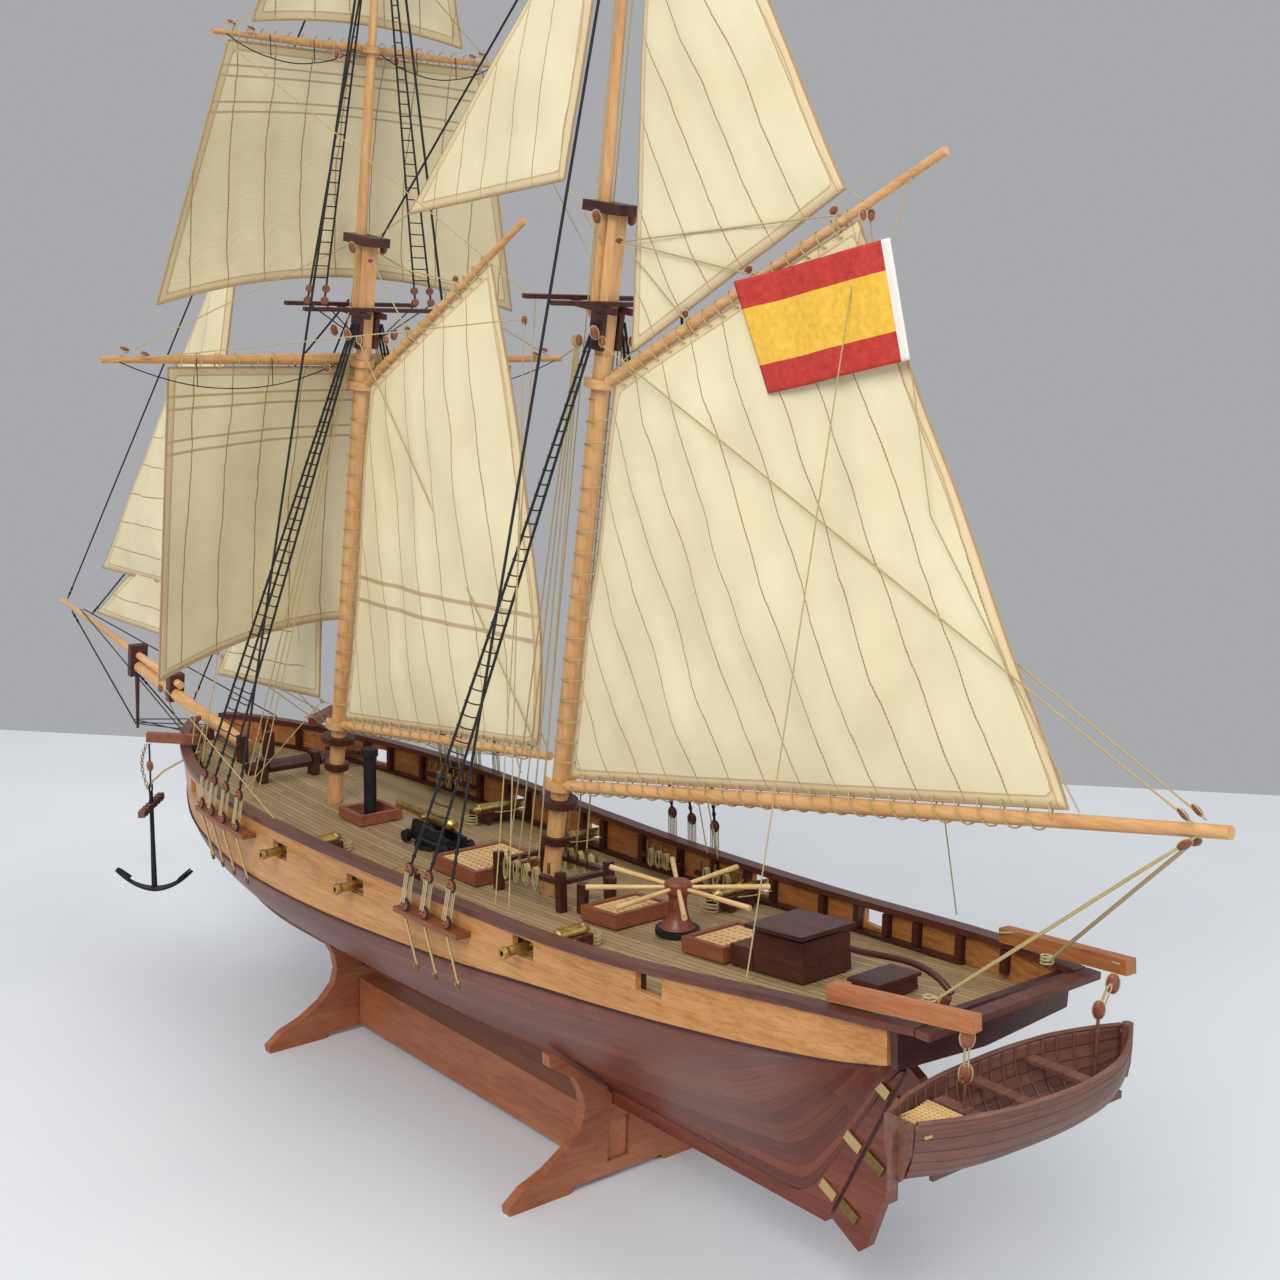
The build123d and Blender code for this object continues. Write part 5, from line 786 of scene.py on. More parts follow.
# ------------------------------------------------------------------ ensign
def ensign():
    m, nt, b = new_mat("ensign")
    uv = nt.nodes.new("ShaderNodeUVMap")
    uv.uv_map = "UVMap"
    s = nt.nodes.new("ShaderNodeSeparateXYZ")
    link(nt, uv.outputs[0], s.inputs[0])
    n = noise_tex(nt, mapped(nt, (400, 400, 400)), 1.0, 4.0)
    red = ramp(nt, n, [(0.3, (0.40, 0.022, 0.018)), (0.7, (0.56, 0.045, 0.032))])
    yel = ramp(nt, n, [(0.3, (0.72, 0.40, 0.03)), (0.7, (0.86, 0.54, 0.07))])
    mid = math_node(nt, "MULTIPLY", math_node(nt, "GREATER_THAN", s.outputs[1], 0.25), math_node(nt, "LESS_THAN", s.outputs[1], 0.75))
    col = mixc(nt, mid, red, yel)
    col = mixc(nt, math_node(nt, "LESS_THAN", s.outputs[0], 0.05), col, (0.78, 0.75, 0.68))
    link(nt, col, b.inputs["Base Color"])
    b.inputs["Roughness"].default_value = 0.85
    bump(nt, b, n, 0.2, 0.0002)
    top_h, bot_h, bot_f, top_f = (-240.5, 389.2), (-251.3, 350.1), (-183.3, 336.6), (-166.7, 376.0)
    nu, nv = 60, 30
    verts, uvs = [], []
    for j in range(nv + 1):
        v = j / nv
        for i in range(nu + 1):
            u = i / nu
            x = (bot_h[0] * (1 - u) + bot_f[0] * u) * (1 - v) + (top_h[0] * (1 - u) + top_f[0] * u) * v
            z = (bot_h[1] * (1 - u) + bot_f[1] * u) * (1 - v) + (top_h[1] * (1 - u) + top_f[1] * u) * v
            y = 6.0 + u * 1.7 * math.sin(5.5 * u + 1.2 * v) + 0.5 * u * math.sin(17 * u - 2 * v)
            z -= 1.2 * u * math.sin(3 * u) * (1 - v) * 0.4
            verts.append((x, y, z))
            uvs.append((u, v))
    w = nu + 1
    faces = [(j * w + i, j * w + i + 1, (j + 1) * w + i + 1, (j + 1) * w + i) for j in range(nv) for i in range(nu)]
    ob = build_mesh("ensign_cloth", verts, faces, m, "main_sail", {"UVMap": uvs}, thick=0.0004, replaces=["ensign"])


ensign()

# ------------------------------------------------------------------ lacing round booms, gaffs and masts
def lace(bag, a, b, n, ra, rb, off, r=0.32, steps=14, wander=0.0):
    """Elliptic spiral from a to b: ra across (y), rb along the in-plane normal, centre shifted by off along that normal."""
    a, b = Vector(a), Vector(b)
    t = (b - a).normalized()
    nrm = Vector((-t.z, 0, t.x)) if abs(t.y) < 0.5 else Vector((0, 0, 1))
    pts = []
    total = int(n * steps)
    for k in range(total + 1):
        f = k / total
        w = 2 * math.pi * n * f
        c = a.lerp(b, f) + nrm * off
        pts.append(c + Vector((0, 1, 0)) * (ra * math.cos(w)) + nrm * (rb * math.sin(w)))
    bag.tube(pts, r, 5)


m_lace = Bag("main_lacing")
lace(m_lace, on_spar(BOOM0, BOOM_RISE, 6), on_spar(BOOM0, BOOM_RISE, 258), 26, 3.5, 4.6, -1.6 if False else -1.2)
lace(m_lace, on_spar(GAFF0, GAFF_RISE, 8), on_spar(GAFF0, GAFF_RISE, 144), 17, 2.9, 4.2, 1.6)
za = 176.0
lace(m_lace, (main_x(176) - 2.4, 0, 176), (main_x(331) - 2.4, 0, 331), 17, 4.7, 7.2, 0.0)
f_lace = Bag("fore_lacing")
lace(f_lace, on_spar(FBOOM0, FBOOM_RISE, 6), on_spar(FBOOM0, FBOOM_RISE, 164), 18, 3.3, 4.3, -1.2)
lace(f_lace, on_spar(FGAFF0, FGAFF_RISE, 8), on_spar(FGAFF0, FGAFF_RISE, 116), 13, 2.8, 4.1, 1.6)
lace(f_lace, (fore_x(168) - 2.4, 0, 168), (fore_x(323) - 2.4, 0, 323), 17, 4.7, 7.2, 0.0)

# ------------------------------------------------------------------ deadeyes, channels irons
MAIN_DE = (-46.0, -60.0, -76.0)
FORE_DE = (146.0, 132.0, 117.0, 101.0)
CH_T, CH_W = 2.2, 7.4


def channel_z(x):
    return rail_z(x) - 9.2


def channel_line(x, s):
    return s * (side_y(x, channel_z(x)) + CH_W - 1.0)


def deadeye_points(x, s):
    y = channel_line(x, s)
    zl = channel_z(x) + 3.1
    return (x, y, zl), (x - 1.2, y - s * 1.6, zl + 15.0)


de_bag, strop, hole_shade_discs, plates = Bag("deadeye_blocks"), Bag("deadeye_strops"), Bag("deadeye_hole_painted_shade"), Bag("chain_plates")
lany = Bag("lanyards")
for s in (1, -1):
    for xs in (MAIN_DE, FORE_DE):
        for x in xs:
            lo, hi = deadeye_points(x, s)
            for p in (lo, hi):
                o = Vector(p) - Vector((0, 1.2, 0))
                de_bag.lathe([(0.4, 0), (1.9, 0.05), (2.45, 0.5), (2.3, 1.2), (2.45, 1.9), (1.9, 2.35), (0.4, 2.4)], o, (0, 1, 0), 18)
                strop.ring(p, (0, 1, 0), 2.5, 0.42, 18, 6)
                for k in range(3):
                    a = math.pi / 2 + 2 * math.pi * k / 3 + (math.pi if p is lo else 0)
                    for e in (-1.25, 1.25):
                        # thin black discs on both faces where the lanyard holes are: painted shade, no hole is cut
                        hole_shade_discs.lathe([(0.42, -0.06), (0.42, 0.06)], (p[0] + 1.2 * math.cos(a), p[1] + e, p[2] + 1.2 * math.sin(a)), (0, 1, 0), 8)
            for dx in (-1.1, 0.0, 1.1):
                lany.rope((lo[0] + dx, lo[1] + s * 1.35, lo[2] + 1.0), (hi[0] + dx * 1.0, hi[1] + s * 1.35, hi[2] - 1.0), 0.24)
                lany.rope((lo[0] + dx, lo[1] - s * 1.35, lo[2] + 1.0), (hi[0] + dx * 1.0, hi[1] - s * 1.35, hi[2] - 1.0), 0.24)
            zb = channel_z(x) - 24
            plates.ring((x, s * (wale_b(x) + 2.0), zb), (0, 1, 0.15 * s), 1.5, 0.45, 12, 6)
            plates.lathe([(0.2, -0.2), (1.1, 0.2), (0.9, 1.1), (0.1, 1.5)], (x, s * (wale_b(x) + 1.0), zb - 2.4), (0, s, 0), 10)
de_bag.build(REDWOOD, slot="dark_wood", replaces=["deadeyes"])
strop.build(BLACK, slot="black_cord")
# the hole discs are painted shade in the black metal colour
hole_shade_discs.build(IRON, slot="dark_wood")
plates.build(BRASSD, slot="brass")

# ------------------------------------------------------------------ standing rigging
BS_IN, BS_CAP = (236.0, 123.8), (384.0, 147.2)
L = math.hypot(BS_CAP[0] - BS_IN[0], BS_CAP[1] - BS_IN[1])
BSD = Vector(((BS_CAP[0] - BS_IN[0]) / L, 0, (BS_CAP[1] - BS_IN[1]) / L))
UPN = Vector((-BSD.z, 0, BSD.x))


def sprit(d, up=0.0):
    return Vector((BS_IN[0], 0, BS_IN[1])) + BSD * d + UPN * up


STAYS = {
    "fore_stay": ((fore_x(364) + 10.5, 0, 369.5), (304, 0, 139.6)),
    "jib_stay": ((fore_x(364) + 16.0, 0, 370.5), (452, 0, 170.6)),
    "flying_jib_stay": ((fore_top_x(575) + 2.4, 0, 575), (492, 0, 176.0)),
    "main_topmast_stay": ((fore_x(398.0) - 10.5, 0, 399.5), (main_top_x(556) + 2.4, 0, 556)),
    "bobstay": ((293.5, 0, 112), (381, 0, 141.5)),
    "martingale": ((388.8, 0, 108.8), (486, 0, 168.0)),
}
SHROUDS = []
for s_ in (1, -1):
    for x_ in MAIN_DE[:2]:
        SHROUDS.append((deadeye_points(x_, s_)[1], (main_x(361) - 1.5 + (x_ + 53) * 0.15, s_ * 6.8, 361)))
    SHROUDS.append((deadeye_points(MAIN_DE[2], s_)[1], (main_top_x(560), s_ * 2.6, 560)))
    for x_ in FORE_DE[:3]:
        SHROUDS.append((deadeye_points(x_, s_)[1], (fore_x(359) - 1.5 + (x_ - 132) * 0.15, s_ * 6.8, 359)))
    SHROUDS.append((deadeye_points(FORE_DE[3], s_)[1], (fore_top_x(571), s_ * 2.6, 571)))


def along(a, b, t):
    return tuple(a[i] + (b[i] - a[i]) * t for i in range(3))


def at_z(line, z):
    a, b = line
    return along(a, b, (z - a[2]) / (b[2] - a[2]))


stand = Bag("standing_lines")
top_de = Bag("crosstree_deadeyes")
rat = Bag("ratlines")
seiz = Bag("seizings")
for a, b in SHROUDS:
    start = along(a, b, 2.4 / (b[2] - a[2]))
    stand.rope(start, b, 0.6, sides=8)
    d = (Vector(b) - Vector(a)).normalized()
    for dist in (5.0, 9.0, 13.0):
        c = Vector(a) + d * dist
        seiz.tube([c, c + d * 1.5], 0.85, 8)
for key, (a, b) in STAYS.items():
    stand.rope(a, b, 0.5, sides=8)
    d = (Vector(a) - Vector(b)).normalized()
    for dist in (4, 9):
        c = Vector(b) + d * dist
        seiz.tube([c, c + d * 2.2], 0.8, 8)
for s in (1, -1):
    for group, top in ((SHROUDS[0:2] if s == 1 else SHROUDS[7:9], 350), (SHROUDS[3:6] if s == 1 else SHROUDS[10:13], 348)):
        z = 152.0
        while z < top:
            zz = z + random.uniform(-0.5, 0.5)
            P = [Vector(at_z(g, zz)) for g in group]
            for p, q in zip(P, P[1:]):
                rat.rope(p + Vector((0.6, s * 0.5, 0)), q + Vector((-0.6, s * 0.5, 0)), 0.32, sag=0.5 if (p - q).length > 4 else 0, seg=4, sides=5)
            for p in P:
                seiz.ring(p, (0, 0, 1), 0.62, 0.22, 8, 5)
            z += 5.2
for s in (1, -1):
    stand.rope((386.5, s * 1.6, 110), (296, s * 9.5, 124), 0.35)
    pair = [((fore_x(363) - 4.6, s * y_, 368.6), (fore_top_x(546) + dx_, s * 2.9, 546)) for y_, dx_ in ((34.0, -1.6), (25.0, 1.0))]
    for a, b in pair:
        stand.rope(a, b, 0.5)
        d = (Vector(b) - Vector(a)).normalized()
        for dist in (1.0, 6.5):
            c = Vector(a) + d * dist
            top_de.lathe([(0.3, -1.0), (1.7, -0.9), (1.95, 0), (1.7, 0.9), (0.3, 1.0)], c, (1, 0, 0), 14)
        stand.rope(a, (a[0] + 2.0, s * 6.0, 352.0), 0.3)
    z = 380.0
    while z < 534:
        rat.rope(at_z(pair[0], z), at_z(pair[1], z), 0.28)
        z += 5.4
stand.build(BLACK, slot="black_cord", replaces=["standing_rigging"])
rat.build(BLACK, slot="black_cord")
top_de.build(REDWOOD, slot="dark_wood")
seiz.build(BLACK, slot="black_cord")
lany.build(LANY, slot="tan_cord")

# ------------------------------------------------------------------ blocks and running rigging
blocks = {}


def block(body, p, axis=(0, 0, 1), size=3.2):
    """Small shell block with a strop round it."""
    if body not in blocks:
        blocks[body] = (Bag(body + "_blocks"), Bag(body + "_block_strops"))
    bb, bs = blocks[body]
    w = Vector(axis).normalized()
    h = size
    prof = [(0.10 * h, -0.62 * h), (0.26 * h, -0.52 * h), (0.38 * h, -0.22 * h), (0.39 * h, 0.1 * h), (0.30 * h, 0.46 * h), (0.10 * h, 0.62 * h)]
    u = w.orthogonal()
    bb.lathe(prof, p, w, 12, squash=(u, 1.0, 0.62))
    bs.ring(p, w.cross(u), 0.42 * h, 0.22, 16, 5, 1.55, w)


def coil(bag, p, drop=11.0, half=2.6, n=7, facing=(0, 1, 0)):
    """Hank of line hung from a pin."""
    f = Vector(facing).normalized()
    side = Vector((0, 0, 1)).cross(f).normalized()
    for k in range(n):
        hh, dd = half * random.uniform(0.45, 0.8), drop * random.uniform(0.78, 1.05)
        c = Vector(p) - Vector((0, 0, dd / 2)) + f * (0.35 * (k - n / 2)) + side * random.uniform(-0.4, 0.4)
        pts = [c + side * (hh * math.cos(2 * math.pi * i / 16)) + Vector((0, 0, dd / 2 * math.sin(2 * math.pi * i / 16))) for i in range(16)]
        bag.tube(pts, 0.27, 5, closed=True)


run = Bag("running_lines")
stand2 = Bag("jibboom_guys")
coils = Bag("rope_coils")
FIFE_X, FIFE_Y = (-28.0, -74.0), 13.0
BT = BULWARK_T
for s in (1, -1):
    for k in range(4):
        x = FIFE_X[0] - 8 - 7.2 * k
        z = deck_top(x, FIFE_Y) + 20.5
        top = (main_x(352) + 7.5 - 1.6 * k, s * (9.2 + k * 0.6), 352)
        run.rope((x, s * FIFE_Y, z), top, 0.33)
        block("hull", (top[0], top[1], top[2] + 1.8), (0.05, 0, 1), 3.6)
        coil(coils, (x, s * (FIFE_Y + 1.6), z - 3.5), 10, 2.3)
    for k in range(3):
        x = 112 + 8 * k
        y = side_y(x, rail_z(x) - 9) - BT - 6.2
        run.rope((x, s * y, rail_z(x) - 2.6), (fore_x(351) - 2.0 + 1.6 * k, s * 6.5, 351), 0.28)
        if k == 1:
            block("hull", (fore_x(351) - 0.4, s * 7.3, 352.5), (0, 0, 1), 3.2)
        coil(coils, (x, s * (y - 1.6), rail_z(x) - 6), 8, 2.1)
    x = 205
    y = side_y(205, 122) - BT - 6.2
    run.rope((205, s * y, rail_z(205) - 2.8), (268, s * 1.4, 172), 0.28)
    coil(coils, (205, s * (y - 1.6), rail_z(205) - 6), 8, 2.1)
    for x0, half in ((-96.0, 11.0), (-56.0, 9.0)):
        for k in (-1, 0, 1):
            x = x0 + k * half * 0.62
            y = side_y(x, rail_z(x) - 9) - BT - 6.2
            coil(coils, (x, s * (y - 1.6), rail_z(x) - 5), 8, 2.2)
    a, b = (-63, s * 25, 360.5), (-96, s * 55.8, rail_z(-96) + 1.1)
    run.rope(a, b, 0.28)
    a2 = (-64, s * 20, 369.4)
    run.rope(a2, (-88, s * 56.8, rail_z(-88) + 1.1), 0.26)
    block("hull", (-62.5, s * 24.5, 361.5), (0, 0, 1), 3.0)
    # topgallant and topsail backstay falls, jib halyards
    run.rope((fore_x(392) + 4, s * 4.0, 392), (fore_x(352) + 6.4, s * 7.0, 352), 0.28)
    run.rope((main_top_x(590) - 2.4, s * 4.2, 590), (main_x(158.7) + 6.4, s * 4.2, 158.9), 0.26)
# jib sheets and jib halyards
for tri, yb in ((JIBS[0], 0.0), (JIBS[1], 0.0), (JIBS[2], 0.0)):
    clew = Vector((tri[1][0], 0, tri[1][1]))
    block("hull", clew + Vector((-2.8, 0, -1.2)), (1, 0, 0.4), 3.0)
    for s in (1, -1):
        xr = clew.x - 66 if clew.x > 200 else clew.x - 34
        run.rope(clew + Vector((-4.0, s * 0.8, -1.6)), (xr, s * (rail_b(xr) - 5.5), rail_z(xr) + 3.1), 0.26)
    head = Vector((tri[2][0], 0, tri[2][1]))
    run.rope(head, (fore_top_x(max(head.z + 60, 400)) + 3.2 if head.z > 400 else fore_x(head.z + 20) + 4.2, 0, max(head.z + 60, 400) if head.z > 400 else head.z + 20), 0.28)
run.rope((-89.0, 0, 541.0), (main_top_x(560) + 2.6, 0, 560), 0.28)
run.rope((-56.4, 0, 417.8), (main_x(392) + 5, 3.0, 392), 0.28)
run.rope((62.0, 0, 409.0), (fore_x(397) - 8, 0, 400), 0.28)
run.build(TAN, slot="tan_cord", replaces=["running_rigging"])
coils.build(TAN, slot="tan_cord")

# gear that travels with the main boom and gaff
for s in (1, -1):
    for px, py, pz in ((main_x(402) + 2.0, s * 9.0, 401.5), (main_x(375) - 5.0, s * 12.0, 357.0), (fore_x(395) + 2.0, s * 8.6, 394.5), (fore_x(360) - 5.0, s * 13.0, 354.0),
                       (fore_x(360) + 9.0, s * 12.0, 356.0)):
        block("hull", (px, py, pz), (0, s * 0.3, 1), 4.2)
    stand2.rope((468, s * 1.0, 171.5), (258, s * 29.5, 133.6), 0.38)
    stand2.rope((388.0, s * 1.0, 112.0), (262, s * 26.5, 132.0), 0.35)
stand2.build(BLACK, slot="black_cord")
mg = Bag("main_gear")
for s in (1, -1):
    top = (main_x(352) - 8.5, s * 7.5, 352)
    mg.rope(top, on_spar(BOOM0, BOOM_RISE, 309, 2.6, s * 3.2), 0.35)
    block("main_sail", Vector(top) + Vector((0.6, 0, 1.5)), (0.3, 0, 1), 3.4)
p1 = on_spar(GAFF0, GAFF_RISE, 92, 3.0, 2.8)
mg.rope((main_x(392) - 8.0, 3.2, 392), p1, 0.35)
mg.rope((main_x(392) - 8.0, 3.2, 392), on_spar(GAFF0, GAFF_RISE, 54, 3.0, 2.8), 0.35)
mg.rope((main_x(392) - 8.0, 3.2, 392), on_spar(GAFF0, GAFF_RISE, 138, 2.6, 2.0), 0.35)
block("main_sail", (main_x(392) - 7.0, 3.2, 392.5), (1, 0, -0.2), 3.6)
for d in (54, 92, 138):
    mg.ring(on_spar(GAFF0, GAFF_RISE, d), (math.cos(math.radians(24.6)), 0, -math.sin(math.radians(24.6))), 2.9, 0.45, 12, 6)
    block("main_sail", on_spar(GAFF0, GAFF_RISE, d, 4.6, 1.6), (-0.6, 0, 0.5), 3.0)
mg.rope((-246.5, 3.4, 408.0), (-241.5, 5.6, 390.0), 0.28)
mg.rope((-251.3, 6.0, 350.1), (-262.0, 5.0, 300.0), 0.24)
mg.rope((-262.0, 5.0, 300.0), on_spar(BOOM0, BOOM_RISE, 268, 3.2, 2.0), 0.24)
mg.rope((-214.4, 0, 406.5), on_spar(GAFF0, GAFF_RISE, 150, 2.0, 0.0), 0.28)
mg.rope((TOPSAIL_GAFF[2][0], 0, 571.0), (main_top_x(585) - 2.8, 0, 585), 0.28)
mg.rope((-101.0, 0, 349.5), (main_x(342) - 6.0, 2.0, 340), 0.28)
mg.build(TAN, "main_sail", slot="tan_cord", replaces=["main_sail_gear"])
m_lace.build(TAN, "main_sail", slot="tan_cord")

fg = Bag("fore_gear")
for s in (1, -1):
    fg.rope((fore_x(350) - 8.5, s * 7.5, 350), on_spar(FBOOM0, FBOOM_RISE, 172, 2.4, s * 2.6), 0.35)
    block("fore_sail", (fore_x(350) - 8.0, s * 7.5, 351.5), (0.3, 0, 1), 3.2)
fg.rope((fore_x(388) - 8.0, 3.2, 388), on_spar(FGAFF0, FGAFF_RISE, 92, 2.8, 1.2), 0.35)
fg.rope((fore_x(388) - 8.0, 3.2, 388), on_spar(FGAFF0, FGAFF_RISE, 46, 2.8, 1.2), 0.35)
block("fore_sail", (fore_x(388) - 7.0, 3.2, 388.5), (1, 0, -0.2), 3.4)
for d in (46, 92):
    fg.ring(on_spar(FGAFF0, FGAFF_RISE, d), (math.cos(math.radians(29)), 0, -math.sin(math.radians(29))), 2.8, 0.45, 12, 6)
    block("fore_sail", on_spar(FGAFF0, FGAFF_RISE, d, 4.4, 0.8), (-0.6, 0, 0.5), 3.0)
fg.build(TAN, "fore_sail", slot="tan_cord", replaces=["fore_sail_gear"])
f_lace.build(TAN, "fore_sail", slot="tan_cord")


# lines that cross a joint
def crossing(name, a, b, r=0.3, mat=None, strands=((0, 0, 0),), seg=24):
    bag = Bag(name)
    A, B = Vector(a), Vector(b)
    for o in strands:
        o = Vector(o)
        pts = [A.lerp(B, k / seg) + o * min(1, 4 * min(k, seg - k) / seg + 0.3) for k in range(seg + 1)]
        bag.tube(pts, r, 6)
    ob = bag.build(mat or TAN, None, slot="tan_cord")
    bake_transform(ob)
    return ob


for s in (1, -1):
    side = "port" if s == 1 else "starboard"
    crossing("main_sheet_" + side, (-292, s * 30, rail_z(-292) + 3.0), (-365.5, s * 1.6, 215.4), r=0.32,
             strands=((0, 0.6, 0), (0, -0.6, 0), (0.9, 0, 0)))
    block("hull", (-292.5, s * 29.6, rail_z(-292) + 3.2), (-0.6, -s * 0.3, 0.7), 3.8)
    n = Vector((1, 0, 0.157)).normalized()
    tip = Vector((fore_x(YARD_Z), 0, YARD_Z)) + n * 10.0 + Vector((0, s * 124.0, -1.0))
    crossing("course_brace_line_" + side, (-62, s * 24, 362.0), tuple(tip), r=0.28)
    n2 = Vector((1, 0, 0.14)).normalized()
    tip2 = Vector((fore_top_x(TYARD_Z), 0, TYARD_Z)) + n2 * 7.6 + Vector((0, s * 74.0, -1.0))
    crossing("topsail_brace_line_" + side, (-64, s * 20, 369.4), tuple(tip2), r=0.26)
    # lifts from the fore cap and topmast
    crossing("course_lift_" + side, (fore_x(396) + 12.0, s * 3.0, 397), tuple(tip), r=0.28)
    crossing("topsail_lift_" + side, (fore_top_x(536) + 3.2, s * 1.6, 536), tuple(tip2), r=0.26)
    # course clews, tacks and sheets
    up = Vector((-0.155, 0, 1)).normalized()
    clew = Vector((fore_x(YARD_Z - 3.8), 0, YARD_Z - 3.8)) + n * 10.5 + Vector((0, s * 94, 0)) - up * 152
    crossing("course_sheet_" + side, (72, s * (rail_b(72) + 0.6), rail_z(72) + 3.3), tuple(clew), r=0.3)
    crossing("gaff_vang_" + side, (-232, s * (rail_b(-232) - 1.0), rail_z(-232) + 3.2), on_spar(GAFF0, GAFF_RISE, 150, -1.6, s * 1.4), r=0.26)
    block("main_sail", on_spar(GAFF0, GAFF_RISE, 150, -3.2, s * 2.0), (0.1, 0, 1), 3.0)
    block("main_sail", on_spar(BOOM0, BOOM_RISE, 306, 5.2, s * 3.6), (0.8, 0, 0.55), 3.8)
    block("main_sail", (-362.5, s * 2.8, 212.6), (-0.7, -s * 0.3, 0.65), 4.0)
    crossing("course_tack_" + side, (238, s * (rail_b(238) - 2.0), rail_z(238) + 3.3), tuple(clew), r=0.3)
    block("course_yard", clew + Vector((0, 0, -2.4)), (0, 0, 1), 3.4)
    tail = Bag("fall_tails")
for s in (1, -1):
    tail.tube([(-316, s * 37, 152.6), (-300, s * 40.5, 151.6), (-282, s * 42, 150.2), (-268, s * 41.5, 149.0), (-262, s * 40.5, 147.5)], 0.34, 6)
    tail.tube([(-292 + 2.2 * math.cos(a), s * 30 + 2.2 * math.sin(a), rail_z(-292) + 3.0 + 0.08 * i) for i, a in enumerate(np.linspace(0, 5 * math.pi, 40))], 0.32, 5)
tail.build(LANY, slot="tan_cord")
# boat falls
for nm, body, f, rk, z0, fw, half, inner_y, drop in (("course", "course_yard", fore_x, -0.157, YARD_Z, 10.0, 120.0, 8.0, 11.0),
                                            ("topsail", "topsail_yard", fore_top_x, -0.14, TYARD_Z, 7.6, 71.0, 6.0, 8.0)):
    nn = Vector((1, 0, -rk)).normalized()
    o = Vector((f(z0), 0, z0)) + nn * fw
    ft = Bag(nm + "_footropes")
    for s in (1, -1):
        prev = None
        stops = [inner_y + (half - inner_y) * t for t in (0, 0.33, 0.67, 1.0)]
        for y1, y2 in zip(stops, stops[1:]):
            pts = []
            for k in range(9):
                t = k / 8
                e1 = 0 if y1 == stops[0] else drop
                e2 = 0 if y2 == stops[-1] else drop
                pts.append(o + Vector((-3.4, s * (y1 + (y2 - y1) * t), -(e1 + (e2 - e1) * t) - 5.0 * t * (1 - t) - 1.0)))
            ft.tube(pts, 0.28, 5)
            if y2 != stops[-1]:
                ft.rope(o + Vector((-3.0, s * y2, 1.0)), o + Vector((-3.4, s * y2, -drop - 1.0)), 0.22)
    ft.build(BLACK, body, slot="black_cord")
    for s in (1, -1):
        block(body, o + Vector((0.0, s * (half - 4), 4.6)), (0, 1, 0.2), 3.6)
        block(body, o + Vector((-3.0, s * (half - 12), 2.6)), (0, 1, 0.2), 3.4)
        block(body, o + Vector((-3.4, s * 16, -4.0)), (0, 0, 1), 3.2)
falls = []
for y in (40.0, -27.0):
    top = (-316.0, 39.4 if y > 0 else -39.4, 147.4)
    zb = 133.5 if y > 0 else 137.5
    crossing("boat_fall_%s" % ("port" if y > 0 else "starboard"), (top[0], y if y > 0 else -33.0, 147.0), (-316.0, y, zb), r=0.3,
             strands=((0.9, 0, 0), (-0.9, 0, 0), (0, 0.8, 0)))
    block("hull", (-316.0, y if y > 0 else -34.0, 146.6), (0, 0, 1), 5.6)
    block("boat", (-316.0, y, zb + 1.6), (0, 0, 1), 5.2)


